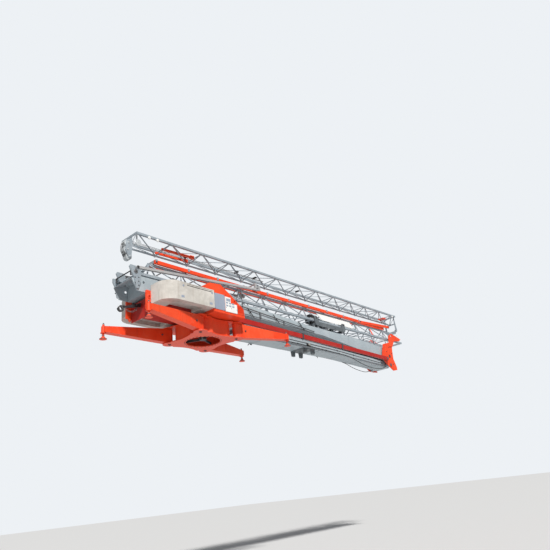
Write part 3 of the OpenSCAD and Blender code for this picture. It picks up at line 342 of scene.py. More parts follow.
class Fitting:
    """Gathers simple solids of one finish into one piece."""

    def __init__(self):
        self.points, self.faces = [], []

    def add(self, points, faces):
        start = len(self.points)
        self.points += [Vector(p) for p in points]
        self.faces += [tuple(start + i for i in face) for face in faces]
        return self

    def slab(self, centre, size, along=None, up=None):
        """A block: size along its own axes, the first of them towards along."""
        centre = Vector(centre)
        a = Vector(along or (1, 0, 0)).normalized()
        c = Vector(up or (0, 0, 1))
        c = (c - a * c.dot(a)).normalized()
        b = c.cross(a)
        half = [a * size[0] / 2, b * size[1] / 2, c * size[2] / 2]
        points = [centre + half[0] * i + half[1] * j + half[2] * k
                  for i in (-1, 1) for j in (-1, 1) for k in (-1, 1)]
        return self.add(points, [(0, 1, 3, 2), (4, 6, 7, 5), (0, 4, 5, 1), (2, 3, 7, 6),
                                 (0, 2, 6, 4), (1, 5, 7, 3)])

    def rod(self, start, end, radius, sides=12, end_radius=None):
        start, end = Vector(start), Vector(end)
        axis = (end - start).normalized()
        a = axis.orthogonal().normalized()
        b = axis.cross(a)
        far = radius if end_radius is None else end_radius
        points = []
        for centre, r in ((start, radius), (end, far)):
            for i in range(sides):
                t = 2 * math.pi * i / sides
                points.append(centre + (a * math.cos(t) + b * math.sin(t)) * r)
        faces = [(i, (i + 1) % sides, sides + (i + 1) % sides, sides + i) for i in range(sides)]
        faces += [tuple(range(sides - 1, -1, -1)), tuple(range(sides, 2 * sides))]
        return self.add(points, faces)

    def bolt(self, place, out, radius, height=None, washer=True):
        """A hexagon head on its washer, standing out from a face."""
        place, out = Vector(place), Vector(out).normalized()
        height = height or radius * 0.8
        if washer:
            self.rod(place, place + out * radius * 0.22, radius * 1.35, 14)
        self.rod(place, place + out * height, radius, 6)
        return self.rod(place, place + out * height * 1.35, radius * 0.55, 10)

    def pipe(self, route, radius, sides=8, cap=True):
        """A tube along a smooth route."""
        route = [Vector(p) for p in route]
        axes = [(route[min(i + 1, len(route) - 1)] - route[max(i - 1, 0)]).normalized()
                for i in range(len(route))]
        a = axes[0].orthogonal().normalized()
        points = []
        for centre, axis in zip(route, axes):
            a = (a - axis * a.dot(axis)).normalized()
            b = axis.cross(a)
            points += [centre + (a * math.cos(2 * math.pi * i / sides)
                                 + b * math.sin(2 * math.pi * i / sides)) * radius
                       for i in range(sides)]
        faces = []
        for ring in range(len(route) - 1):
            for i in range(sides):
                j = (i + 1) % sides
                faces.append((ring * sides + i, ring * sides + j, (ring + 1) * sides + j,
                              (ring + 1) * sides + i))
        if cap:
            faces.append(tuple(range(sides - 1, -1, -1)))
            faces.append(tuple((len(route) - 1) * sides + i for i in range(sides)))
        return self.add(points, faces)

    def turned(self, centre, axis, profile, sides=32):
        """A solid of revolution: profile holds (distance along axis, radius) from end to end."""
        centre, axis = Vector(centre), Vector(axis).normalized()
        a = axis.orthogonal().normalized()
        b = axis.cross(a)
        points = []
        for along, r in profile:
            points += [centre + axis * along + (a * math.cos(2 * math.pi * i / sides)
                                                + b * math.sin(2 * math.pi * i / sides)) * r
                       for i in range(sides)]
        n = len(profile)
        faces = []
        for ring in range(n):
            nxt = (ring + 1) % n
            for i in range(sides):
                j = (i + 1) % sides
                faces.append((ring * sides + i, ring * sides + j, nxt * sides + j, nxt * sides + i))
        return self.add(points, faces)

    def plate(self, outline, y, thickness):
        """A flat plate in an XZ plane of the crane, its outline given from the slewing axis."""
        n = len(outline)
        points = [at(x, y, z) for x, z in outline] + [at(x, y + thickness, z) for x, z in outline]
        faces = [(i, (i + 1) % n, n + (i + 1) % n, n + i) for i in range(n)]
        faces += [tuple(range(n - 1, -1, -1)), tuple(range(n, 2 * n))]
        return self.add(points, faces)

    def piece(self, name, body, finish, slot, bevel=0.0, smooth=40):
        """Makes the piece and lets it ride on its body."""
        mesh = bpy.data.meshes.new(name)
        mesh.from_pydata(self.points, [], self.faces)
        mesh.validate()
        mesh.materials.append(finish)
        made = bpy.data.objects.new(name, mesh)
        bpy.context.scene.collection.objects.link(made)
        for face in mesh.polygons:
            face.use_smooth = True
        mesh.set_sharp_from_angle(angle=math.radians(smooth))
        if bevel:
            round_edges = made.modifiers.new("edges", "BEVEL")
            round_edges.width = bevel
            round_edges.segments = 2
            round_edges.limit_method = "ANGLE"
            round_edges.harden_normals = True
        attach(made, body)
        return made


def sag(start, end, drop, count=14):
    """Points of a cable that hangs between two clips."""
    start, end = Vector(start), Vector(end)
    return [start.lerp(end, i / count) - Vector((0, 0, 4 * drop * (i / count) * (1 - i / count)))
            for i in range(count + 1)]


def curve(points, count=8):
    """A smooth line through a few places."""
    points = [Vector(p) for p in points]
    ends = [points[0] * 2 - points[1]] + points + [points[-1] * 2 - points[-2]]
    line = []
    for i in range(1, len(ends) - 2):
        p0, p1, p2, p3 = ends[i - 1:i + 3]
        for k in range(count):
            t = k / count
            line.append(0.5 * ((2 * p1) + (p2 - p0) * t + (2 * p0 - 5 * p1 + 4 * p2 - p3) * t * t
                               + (3 * p1 - p0 - 3 * p2 + p3) * t ** 3))
    return line + [points[-1]]


SIDES = ((1, -1, "front_near"), (1, 1, "front_far"), (-1, -1, "rear_near"), (-1, 1, "rear_far"))

# Pieces


def leg_fittings():
    """Ribs, hinge collars, a locking pin and the sleeve flange of each outrigger leg."""
    for sx, sy, name in SIDES:
        part = Fitting()
        for s in (0.52, 1.02, 1.52):
            low_z, high_z = 0.15 + 0.135 * s / 2.12, 0.595 - 0.14 * s / 2.12
            for across in (-0.113, 0.113):
                side = leg_point(sx, sy, s, across, (low_z + high_z) / 2)
                way = leg_point(sx, sy, s + 1, across, 0) - leg_point(sx, sy, s, across, 0)
                part.slab(side, (0.05, 0.008, high_z - low_z - 0.09), way)
        tip = leg_point(sx, sy, 2.12, 0, 0.262)
        part.turned(tip, (0, 0, 1), [(0, 0.064), (0, 0.084), (0.016, 0.084), (0.016, 0.064)])
        way = leg_point(sx, sy, 1, 0, 0) - leg_point(sx, sy, 0, 0, 0)
        over_tip = leg_point(sx, sy, 1.9, 0, 0.474)
        part.slab(over_tip, (0.16, 0.14, 0.01), way)
        part.piece("leg_ribs_" + name, "leg_" + name, ORANGE, "orange_paint", 0.002)
        steel = Fitting()
        for s in (1.85, 1.95):
            for across in (-0.05, 0.05):
                steel.bolt(leg_point(sx, sy, s, across, 0.479), (0, 0, 1), 0.011)
        for s, across in ((0.30, -0.11), (0.30, 0.11)):
            out = leg_point(sx, sy, s, across * 2, 0.38) - leg_point(sx, sy, s, across, 0.38)
            start = leg_point(sx, sy, s, across, 0.38)
            steel.rod(start, start + out.normalized() * 0.028, 0.026, 18)
            steel.rod(start, start + out.normalized() * 0.036, 0.012, 10)
        steel.piece("leg_bolts_" + name, "leg_" + name, BOLT, "dark_steel")


def jack_fittings():
    """Screw thread below the sleeve, the crank head and the rim of each foot plate."""
    for sx, sy, name in SIDES:
        part = Fitting()
        profile = [(0.0, 0.032)]
        for i in range(4):
            z = 0.006 + i * 0.012
            profile += [(z, 0.032), (z + 0.004, 0.0385), (z + 0.007, 0.0385), (z + 0.011, 0.032)]
        profile += [(0.056, 0.032)]
        part.turned(leg_point(sx, sy, 2.12, 0, 0.155), (0, 0, 1), profile, 24)
        crank = leg_point(sx, sy, 2.12, 0, 0.515)
        part.turned(crank, (0, 0, 1), [(0, 0.0), (0, 0.032), (0.012, 0.032), (0.018, 0.026),
                                       (0.022, 0.026), (0.022, 0.0)], 24)
        part.rod(crank + Vector((0, 0, 0.018)), crank + Vector((0, 0, 0.055)), 0.022, 6)
        part.piece("jack_screw_" + name, "jack_" + name, STEEL, "dark_steel")
        rim = Fitting()
        foot = leg_point(sx, sy, 2.12, 0, 0.08)
        rim.turned(foot, (0, 0, 1), [(0.004, 0.09), (0.004, 0.108), (0.018, 0.108), (0.018, 0.09)])
        rim.piece("foot_rim_" + name, "jack_" + name, DARK, "dark_steel")


def base_fittings():
    part = Fitting()
    for i in range(30):
        a = 2 * math.pi * (i + 0.5) / 30
        part.bolt(at(0.578 * math.cos(a), 0.578 * math.sin(a), 0.12), (0, 0, -1), 0.013)
    for sx, sy, name in SIDES:
        for z, out in ((0.643, 1), (0.12, -1)):
            centre = at(0.74 * sx, 0.74 * sy, z)
            part.rod(centre, centre + Vector((0, 0, (0.006 if out > 0 else -0.012))), 0.05, 24)
            if out < 0:
                part.bolt(centre - Vector((0, 0, 0.012)), (0, 0, -1), 0.016)
                for turn in (0.7, 3.84):
                    place = centre + Vector((0.088 * math.cos(turn), 0.088 * math.sin(turn), 0))
                    part.bolt(place, (0, 0, -1), 0.01)
    part.piece("base_bolts", "base", BOLT, "dark_steel")
    swivel = Fitting()
    swivel.turned(at(0, 0, 0.17), (0, 0, 1), [
        (0, 0), (0, 0.10), (0.02, 0.115), (0.10, 0.115), (0.10, 0.15), (0.13, 0.15), (0.13, 0.105),
        (0.22, 0.105), (0.22, 0.13), (0.25, 0.13), (0.25, 0.10), (0.43, 0.10), (0.43, 0)])
    for turn in (0.4, 2.1, 3.9):
        c, s = math.cos(turn), math.sin(turn)
        swivel.rod(at(0.1 * c, 0.1 * s, 0.235), at(0.6 * c, 0.6 * s, 0.235), 0.018, 10)
        swivel.slab(at(0.35 * c, 0.35 * s, 0.19), (0.5, 0.03, 0.045), (c, s, 0))
    swivel.piece("rotary_collector", "base", DARK, "dark_steel", 0.002)
    hose = Fitting()
    hose.pipe(curve([at(-0.09, -0.06, 0.21), at(-0.22, -0.24, 0.16), at(-0.35, -0.40, 0.20),
                     at(-0.44, -0.50, 0.30)]), 0.016)
    hose.pipe(curve([at(-0.05, -0.10, 0.24), at(-0.10, -0.32, 0.17), at(-0.05, -0.50, 0.22),
                     at(0.02, -0.58, 0.34)]), 0.012)
    hose.piece("collector_hoses", "base", RUBBER, "dark_steel")
    ring = Fitting()
    for r, z in ((0.552, 0.124), (0.552, 0.141)):
        ring.turned(at(0, 0, z), (0, 0, 1), [(-0.006, r - 0.012), (-0.006, r), (0.006, r),
                                             (0.006, r - 0.012)], 96)
    ring.piece("base_opening_lip", "base", ORANGE, "orange_paint", 0.002)


def platform_fittings():
    bolts = Fitting()
    for i in range(36):
        a = 2 * math.pi * i / 36
        bolts.bolt(at(0.572 * math.cos(a), 0.572 * math.sin(a), 0.7055), (0, 0, 1), 0.012)
    for y in (NEAR, FAR):
        for x, z in ((-2.44, 0.66), (-2.34, 0.66), (-2.44, 0.78), (-2.34, 0.78)):
            bolts.bolt(at(x, 0.513 * y, z), (0, y, 0), 0.016)
        for x, z in ((0.42, 0.70), (0.60, 0.70), (0.78, 0.70), (0.60, 0.84), (0.78, 0.84)):
            bolts.bolt(at(x, 0.56 * y, z), (0, y, 0), 0.014)
    bolts.piece("platform_bolts", "platform", BOLT, "dark_steel")
    collars = Fitting()
    for y in (NEAR, FAR):
        collars.turned(at(-2.39, 0.513 * y, 0.97), (0, y, 0),
                       [(0, 0.033), (0, 0.066), (0.012, 0.066), (0.016, 0.060), (0.016, 0.033)])
        collars.turned(at(-2.36, 0.485 * y, 0.592), (0, 0, -1),
                       [(0, 0), (0, 0.05), (0.03, 0.05), (0.05, 0.026), (0.085, 0.026), (0.085, 0)], 20)
        collars.slab(at(-2.39, 0.485 * y, 1.152), (0.16, 0.05, 0.012))
        collars.turned(at(0.90, 0.56 * y, 0.85), (0, y, 0),
                       [(0, 0.046), (0, 0.08), (0.02, 0.08), (0.02, 0.046)])
    collars.piece("post_collars", "platform", ORANGE, "orange_paint", 0.0015)
    hook = Fitting()
    for y in (NEAR, FAR):
        hook.turned(at(-2.98, 0.030 * y, 0.65), (0, y, 0),
                    [(0, 0.05), (0, 0.078), (0.010, 0.074), (0.010, 0.054)])
    hook.rod(at(-2.90, -0.045, 0.74), at(-2.90, 0.045, 0.74), 0.018, 14)
    for y in (NEAR, FAR):
        hook.bolt(at(-2.90, 0.045 * y, 0.74), (0, y, 0), 0.022)
        hook.bolt(at(-2.47, 0.030 * y, 0.86), (0, y, 0), 0.018)
        hook.bolt(at(-2.47, 0.030 * y, 0.74), (0, y, 0), 0.018)
    hook.piece("hook_latch", "platform", STEEL, "dark_steel")
    chain = Fitting()
    for i in range(7):
        centre = at(-2.86 + 0.055 * i, -0.052 - 0.002 * i, 0.70 - 0.11 * math.sin(math.pi * (i + 0.5) / 7))
        loop = [centre + Vector((0.036 * math.cos(t), 0.010 * (i % 2) * math.sin(t) * 1.6,
                                 0.016 * math.sin(t) * (1 if i % 2 == 0 else 0.25)))
                for t in (2 * math.pi * k / 16 for k in range(17))]
        chain.pipe(loop, 0.0055, 6, cap=False)
    chain.piece("hook_chain", "platform", STEEL, "dark_steel")


def ballast_fittings():
    for y, name in ((NEAR, "near"), (FAR, "far")):
        part = Fitting()
        for x in (-1.95, -0.95):
            for side in (0.70, 1.05):
                foot = [at(x - 0.07, side * y, 1.312), at(x - 0.07, side * y, 1.36)]
                arc = [at(x + 0.07 * math.cos(t), side * y, 1.36 + 0.07 * math.sin(t))
                       for t in (math.pi * (1 - k / 12) for k in range(1, 12))]
                part.pipe(foot + arc + [at(x + 0.07, side * y, 1.36), at(x + 0.07, side * y, 1.312)],
                          0.014, 10)
        for x in (-1.75, -0.80):
            part.rod(at(x, 0.60 * y, 1.315), at(x, 0.60 * y, 1.325), 0.05, 24)
            part.bolt(at(x, 0.60 * y, 1.325), (0, 0, 1), 0.024)
        part.piece("ballast_loops_" + name, "platform", STEEL, "dark_steel")
        plugs = Fitting()
        for x in (-1.75, -0.66):
            plugs.turned(at(x, 1.25 * y, 1.20), (0, y, 0),
                         [(-0.004, 0), (-0.004, 0.032), (0.004, 0.032), (0.006, 0.026), (0.006, 0)], 24)
        for x in (-1.78, -0.72):
            plugs.slab(at(x, 1.251 * y, 0.86), (0.11, 0.006, 0.07))
        # A black strip along each ballast block's groove: painted shade in the recess.
        groove_shade = Fitting()
        groove_shade.slab(at(-1.13, 1.2505 * y, 1.235), (0.98, 0.004, 0.018))
        groove_shade.piece("ballast_groove_painted_shade_" + name, "platform", RUBBER, "dark_steel")
        plugs.piece("ballast_plugs_" + name, "platform", PANEL_GREY, "grey_paint", 0.001)


def housing_fittings():
    """Door seams, hinges, latches and louvres of the two machine housings."""
    for y, name in ((NEAR, "near"), (FAR, "far")):
        seams, louvres, steel = Fitting(), Fitting(), Fitting()
        face = 1.2255 * y
        for x in (0.385, 0.655):
            seams.slab(at(x, face, 1.02), (0.006, 0.004, 0.56))
        for z in (0.74, 1.30):
            seams.slab(at(0.52, face, z), (0.27, 0.004, 0.006))
        front = 0.7005
        for side in (0.68, 1.16):
            seams.slab(at(front, side * y, 1.08), (0.004, 0.006, 0.60))
        for z in (0.78, 1.38):
            seams.slab(at(front, 0.92 * y, z), (0.004, 0.48, 0.006))
        for i in range(9):
            louvres.slab(at(0.703, 0.92 * y, 0.86 + 0.032 * i), (0.012, 0.34, 0.010),
                         (0.8, 0, -0.6))
            louvres.slab(at(0.52, 1.228 * y, 0.80 + 0.026 * i), (0.20, 0.010, 0.008))
        for z in (0.86, 1.18):
            steel.rod(at(0.390, 1.232 * y, z - 0.035), at(0.390, 1.232 * y, z + 0.035), 0.009, 12)
            steel.rod(at(front + 0.006, 1.155 * y, z - 0.035),
                      at(front + 0.006, 1.155 * y, z + 0.035), 0.009, 12)
        steel.turned(at(0.62, 1.2255 * y, 1.12), (0, y, 0),
                     [(0, 0), (0, 0.024), (0.006, 0.024), (0.010, 0.018), (0.010, 0)], 20)
        steel.slab(at(0.62, 1.238 * y, 1.10), (0.014, 0.010, 0.07))
        steel.turned(at(front, 0.72 * y, 1.12), (1, 0, 0),
                     [(0, 0), (0, 0.024), (0.006, 0.024), (0.010, 0.018), (0.010, 0)], 20)
        for x, z in ((0.41, 0.76), (0.63, 0.76), (0.41, 1.28), (0.63, 1.28)):
            steel.bolt(at(x, 1.2255 * y, z), (0, y, 0), 0.008)
        seams.piece("housing_seams_" + name, "platform", DARK, "dark_steel")
        louvres.piece("housing_louvres_" + name, "platform", ORANGE, "orange_paint")
        steel.piece("housing_latches_" + name, "platform", BOLT, "dark_steel")
    screws, marks = Fitting(), Fitting()
    for x, z in ((-0.10, 0.86), (0.34, 0.86), (0.34, 1.09), (0.085, 1.27), (-0.10, 1.27), (0.12, 0.86)):
        screws.bolt(at(x, -1.245, z), (0, -1, 0), 0.008)
    for x, z in ((-0.55, 0.76), (-0.155, 0.76), (-0.55, 1.24), (-0.155, 1.24)):
        screws.bolt(at(x, -1.237, z), (0, -1, 0), 0.008)
    screws.piece("panel_screws", "platform", BOLT, "dark_steel")
    for i in range(3):
        for k in range(2):
            marks.slab(at(-0.06 + 0.13 * i, -1.2465, 0.93 + 0.09 * k), (0.09, 0.003, 0.05))
    marks.slab(at(0.0, -1.2465, 1.12), (0.17, 0.003, 0.09))
    marks.piece("panel_plates", "platform", PANEL_GREY, "grey_paint")
    lamp = Fitting()
    lamp.turned(at(0.28, -1.245, 1.15), (0, -1, 0),
                [(0, 0), (0, 0.022), (0.012, 0.020), (0.018, 0.012), (0.020, 0)], 20)
    lamp.piece("panel_button", "platform", DARK_RED_AND_PAINTED_SHADE, "dark_red_paint")


def mast_edges(x):
    """Lower and upper edge of the folded lower mast at x."""
    low = 0.505 - 0.15 * max(0, x - 7.2) / 3.92
    high = 0.83 - 0.035 * (x - 1.12) / 3.68 if x < 4.8 else 0.795 - 0.155 * (x - 4.8) / 6.15
    return low, high


def mast_fittings():
    """Pin caps, hoses, clamps and small gear on the two folded masts and the guide struts."""
    caps = Fitting()
    for x, z in ((1.30, 0.62), (10.95, 0.44)):
        for y in (NEAR, FAR):
            caps.turned(at(x, 0.56 * y, z), (0, y, 0),
                        [(0, 0), (0, 0.072), (0.016, 0.072), (0.022, 0.060), (0.022, 0)], 28)
            caps.bolt(at(x, 0.582 * y, z), (0, y, 0), 0.020)
            caps.slab(at(x, 0.586 * y, z + 0.045), (0.09, 0.008, 0.026))
    caps.piece("mast_pin_caps", "lower_mast", STEEL, "dark_steel", 0.001)
    bands = Fitting()
    for x in (2.6, 4.1, 5.8, 7.3, 8.8, 10.1):
        low, high = mast_edges(x)
        for y in (NEAR, FAR):
            bands.slab(at(x, 0.333 * y, (low + high) / 2), (0.07, 0.008, high - low - 0.02))
        bands.slab(at(x, 0, low - 0.003), (0.07, 0.64, 0.008), (1, 0, -0.038 if x > 7.2 else 0))
    bands.piece("lower_mast_bands", "lower_mast", GREY, "grey_paint", 0.0015)
    cable, clips = Fitting(), Fitting()
    cable.pipe(curve([at(1.7, -0.343, 0.60), at(3.0, -0.343, 0.595), at(4.4, -0.343, 0.60),
                      at(6.2, -0.343, 0.57), at(7.6, -0.343, 0.53), at(8.1, -0.343, 0.46),
                      at(8.4, -0.340, 0.39), at(8.9, -0.335, 0.29), at(9.6, -0.33, 0.22),
                      at(10.3, -0.33, 0.25), at(10.8, -0.33, 0.37)], 6), 0.012)
    cable.pipe(curve([at(8.2, 0.30, 0.47), at(8.56, 0.31, 0.42), at(9.22, 0.32, 0.28),
                      at(10.04, 0.32, 0.22), at(10.7, 0.31, 0.36)], 8), 0.012)
    cable.pipe(curve([at(1.9, -0.343, 0.70), at(3.4, -0.343, 0.705), at(5.1, -0.343, 0.69),
                      at(7.0, -0.343, 0.66), at(9.4, -0.343, 0.57), at(10.6, -0.342, 0.52)], 5), 0.008)
    cable.piece("lower_mast_cables", "lower_mast", RUBBER, "dark_steel")
    for x, z in ((1.9, 0.60), (3.0, 0.595), (4.4, 0.60), (5.3, 0.585), (6.2, 0.57), (7.1, 0.55),
                 (3.4, 0.705), (7.0, 0.66), (8.2, 0.617), (9.4, 0.57)):
        clips.slab(at(x, -0.344, z), (0.03, 0.026, 0.036))
        clips.bolt(at(x, -0.331, z + 0.03), (0, -1, 0), 0.007)
    clips.piece("cable_clips", "lower_mast", BOLT, "dark_steel")
    lamp = Fitting()
    lamp.slab(at(5.06, -0.336, 0.61), (0.22, 0.014, 0.08))
    lamp.slab(at(5.06, -0.37, 0.63), (0.16, 0.06, 0.09))
    lamp.slab(at(2.55, 0.335, 0.52), (0.10, 0.012, 0.12))
    lamp.rod(at(2.55, 0.35, 0.57), at(2.42, 0.36, 0.44), 0.014, 12)
    lamp.piece("work_lamp_body", "lower_mast", DARK, "dark_steel", 0.004)
    lens = Fitting()
    lens.slab(at(5.06, -0.402, 0.63), (0.13, 0.006, 0.065))
    lens.piece("work_lamp_lens", "lower_mast", GLASS, "white_panel", 0.002)
    brackets = Fitting()
    for x in (4.80, 5.41):
        for y in (-0.29, 0.29):
            brackets.bolt(at(x, y * 1.14, 0.44), (0, y, 0), 0.016)
            brackets.bolt(at(x, y * 1.14, 0.36), (0, y, 0), 0.016)
    brackets.piece("bracket_bolts", "lower_mast", BOLT, "dark_steel")
    strut = Fitting()
    slope = (0.67 - 0.85) / (10.55 - 0.90)
    for x in (4.36, 6.92):
        z = 0.85 + slope * (x - 0.90)
        for y in (NEAR, FAR):
            strut.slab(at(x, 0.635 * y, z), (0.09, 0.11, 0.19), (1, 0, slope))
            strut.rod(at(x, 0.635 * y, z - 0.16), at(x, 0.635 * y, z + 0.15), 0.012, 10)
            for out in (-1, 1):
                strut.bolt(at(x, 0.635 * y, z + 0.095 * out), (0, 0, out), 0.016)
    strut.piece("strut_clamps", "struts", BOLT, "dark_steel", 0.002)
    pins = Fitting()
    for x, z in ((0.90, 0.85), (10.55, 0.67)):
        for y in (NEAR, FAR):
            pins.turned(at(x, 0.675 * y, z), (0, y, 0),
                        [(0, 0), (0, 0.062), (0.014, 0.062), (0.020, 0.050), (0.020, 0)], 24)
            pins.bolt(at(x, 0.695 * y, z), (0, y, 0), 0.016)
    pins.piece("strut_pin_caps", "struts", STEEL, "dark_steel")
    plates = Fitting()
    for y in (NEAR, FAR):
        for x, z in ((10.72, 0.62), (11.22, 0.50), (11.25, 1.02), (10.80, 1.05), (11.10, 1.30)):
            plates.bolt(at(x, 0.55 * y, z), (0, y, 0), 0.018)
        plates.turned(at(11.0, 0.554 * y, 0.86), (0, y, 0),
                      [(0, 0), (0, 0.070), (0.016, 0.070), (0.022, 0.058), (0.022, 0)], 28)
    plates.piece("knuckle_bolts", "knuckle", BOLT, "dark_steel")


def upper_mast_fittings():
    rail = Fitting()
    for x in (1.78, 3.12, 4.55):
        rail.rod(at(x - 0.16, -0.50, 1.43), at(x + 0.16, -0.50, 1.13), 0.014, 8)
        rail.rod(at(x, -0.45, 1.28), at(x, -0.515, 1.28), 0.018, 8)
    rail.piece("mast_rail_braces", "upper_mast", DARK, "dark_steel")
    frame_bits = Fitting()
    for y in (-0.45, 0.45):
        frame_bits.rod(at(-2.90, y * 0.8, 1.56), at(-2.90, y * 0.8, 1.70), 0.018, 8)
        frame_bits.rod(at(-2.60, y * 0.8, 1.54), at(-2.60, y * 0.8, 1.68), 0.018, 8)
        frame_bits.rod(at(-2.90, y * 0.8, 1.69), at(-2.60, y * 0.8, 1.67), 0.018, 8)
        frame_bits.rod(at(-2.90, y * 0.8, 1.57), at(-2.60, y * 0.8, 1.67), 0.012, 8)
    frame_bits.rod(at(-2.90, -0.36, 1.69), at(-2.90, 0.36, 1.69), 0.018, 8)
    frame_bits.piece("mast_head_frame", "upper_mast", DARK, "dark_steel")
    heads, pins = Fitting(), Fitting()
    for y in (NEAR, FAR):
        pins.turned(at(-2.82, 0.4915 * y, 1.65), (0, y, 0),
                    [(0, 0), (0, 0.062), (0.014, 0.062), (0.020, 0.050), (0.020, 0)], 24)
        pins.bolt(at(-2.82, 0.511 * y, 1.65), (0, y, 0), 0.016)
        for x, z in ((-2.72, 1.24), (-2.72, 1.36), (-2.72, 1.48), (-2.84, 1.30), (-2.84, 1.46)):
            heads.bolt(at(x, 0.49 * y, z), (0, y, 0), 0.014)
    heads.piece("mast_head_bolts", "upper_mast", BOLT, "dark_steel")
    pins.piece("jib_root_pin_caps", "jib_inner", STEEL, "dark_steel")


def lattice_fittings():
    """Fine bracing, node plates and clips of the folded jib."""
    brace, gusset = Fitting(), Fitting()
    first = 0.755
    for k in range(11):
        u = first + k * PANEL
        near, far = NEAR * 0.39, FAR * 0.39
        brace.rod(jib(u, near, 0), jib(u, far, 0), 0.016, 8)
        a, b = (near, far) if k % 2 else (far, near)
        brace.rod(jib(u, a, 0), jib(u + PANEL, b, 0), 0.014, 8)
        for y in (near, far):
            gusset.slab(jib(u, y * 0.985, 0.045), (0.20, 0.008, 0.07), jib(1, 0, 0) - jib(0, 0, 0))
    brace.piece("inner_plan_bracing", "jib_inner", ZINC, "galvanised")
    gusset.piece("inner_node_plates", "jib_inner", PALE_ZINC, "galvanised", 0.001)
    fine, nodes = Fitting(), Fitting()
    for k in range(10):
        u = 1.405 + k * PANEL
        fine.rod(outer(u, -0.355, 1.415), outer(u, 0.355, 1.415), 0.014, 8)
        a, b = (-0.355, 0.355) if k % 2 else (0.355, -0.355)
        fine.rod(outer(u, a, 1.415), outer(u + PANEL, b, 1.415), 0.012, 8)
        for y in (-0.355, 0.355):
            nodes.slab(outer(u, y * 0.985, 1.375), (0.16, 0.007, 0.06), jib(1, 0, 0) - jib(0, 0, 0))
        nodes.rod(outer(u - 0.35, -0.05, 1.045), outer(u - 0.35, 0.05, 1.045), 0.034, 10)
    fine.piece("outer_plan_bracing", "jib_outer", ZINC, "galvanised")
    nodes.piece("outer_node_plates", "jib_outer", PALE_ZINC, "galvanised", 0.001)


def rope_fittings():
    ropes = Fitting()
    for y in (-0.035, 0.035):
        ropes.rod(jib(7.9, y, 0.30), jib(15.4, y, 0.12), 0.006, 8)
        ropes.rod(jib(0.75, y * 2, 0.22), jib(7.2, y * 2, 0.30), 0.006, 8)
    ropes.piece("trolley_ropes", "jib_inner", ROPE, "dark_steel")
    drum = Fitting()
    drum.turned(jib(9.11, 0.21, 0.24), (0, 1, 0), [(0, 0), (0, 0.06), (0.006, 0.06), (0.006, 0)], 20)
    drum.piece("winch_drum_flange", "jib_inner", STEEL, "dark_steel")
    head = Fitting()
    for y in (-0.06, 0.0, 0.06):
        head.pipe(curve([outer(-0.105, y, 1.17), outer(-0.135, y, 1.05), outer(-0.13, y, 0.94),
                         outer(-0.095, y, 0.84), outer(-0.05, y, 0.735)], 6), 0.007)
        head.rod(outer(0.02, y, 1.277), outer(6.0, y * 0.5, 1.30), 0.006, 8)
    head.piece("head_ropes", "jib_outer", ROPE, "dark_steel")


def clevises():
    pins = Fitting()
    for y in (NEAR, FAR):
        for u, w in ((0.95, 0.66), (12.36, 0.66), (15.02, 0.82)):
            pins.rod(jib(u, 0.185 * y + 0.02 * y, w), jib(u, 0.105 * y, w), 0.024, 16)
            pins.bolt(jib(u, 0.205 * y, w), (0, y, 0), 0.018)
        pins.bolt(jib(12.0, 0.186 * y, 0.66), (0, y, 0), 0.014)
    pins.piece("stay_pins", "jib_inner", BOLT, "dark_steel")
    sign = Fitting()
    for u in (9.1, 10.2, 11.3):
        for t in (0.16, 0.70):
            y = -0.39 * (1 - t) - 0.03
            sign.bolt(jib(u, y + 0.008 - 0.012, 0.60 * t + 0.03), (0, -0.84, 0.54), 0.012)
    sign.piece("sign_screws", "jib_inner", BOLT, "dark_steel")
    upright = Fitting()
    upright.rod(jib(13.0, -0.355, 0.02), jib(13.05, -0.21, 0.40), 0.028, 10)
    upright.slab(jib(13.0, -0.345, 0.05), (0.14, 0.03, 0.10))
    upright.piece("upright_stop", "jib_inner", ORANGE, "orange_paint", 0.003)


def trolley_fittings():
    wheels, bolts = Fitting(), Fitting()
    for du in (-0.95, 0.95):
        for y in (NEAR, FAR):
            place = jib(9.4 + du, 0.50 * y, 0.0853)
            bolts.turned(place, (0, y, 0), [(0, 0), (0, 0.040), (0.010, 0.040), (0.014, 0.030),
                                            (0.014, 0)], 20)
            bolts.bolt(jib(9.4 + du, 0.514 * y, 0.0853), (0, y, 0), 0.012)
    for du in (-0.80, -0.30, 0.30, 0.80):
        for y in (NEAR, FAR):
            bolts.bolt(jib(9.4 + du, 0.50 * y, -0.17), (0, y, 0), 0.012)
    bolts.piece("trolley_bolts", "trolley", BOLT, "dark_steel")
    hoses = Fitting()
    for start, end in ((8.62, 9.32), (9.80, 10.57)):
        hoses.pipe(sag(jib(start, -0.30, -0.21), jib(end, -0.30, -0.21), 0.04, 16), 0.013)
    hoses.piece("trolley_hoses", "trolley", PANEL_GREY, "grey_paint")
    hook = Fitting()
    low = -0.04 - 0.2 - 0.045
    line = [jib(9.78 - 0.055 * math.sin(t), 0.055 * math.cos(t), low + 0.075)
            for t in (math.pi * (-0.42 - 1.50 * k / 22) for k in range(23))]
    hook.rod(jib(9.50, 0, low + 0.075), jib(9.71, 0, low + 0.075), 0.026, 20)
    hook.pipe(line, 0.019, 12)
    for y in (NEAR, FAR):
        hook.bolt(jib(9.4, 0.085 * y, low + 0.08), (0, y, 0), 0.024)
    wheels.turned(jib(9.4, -0.020, low + 0.08), (0, 1, 0),
                  [(0, 0.03), (0, 0.088), (0.010, 0.088), (0.020, 0.072), (0.030, 0.088),
                   (0.040, 0.088), (0.040, 0.03)], 36)
    hook.piece("load_hook", "trolley", NAVY, "navy_paint")
    wheels.piece("hook_sheave", "trolley", STEEL, "dark_steel")


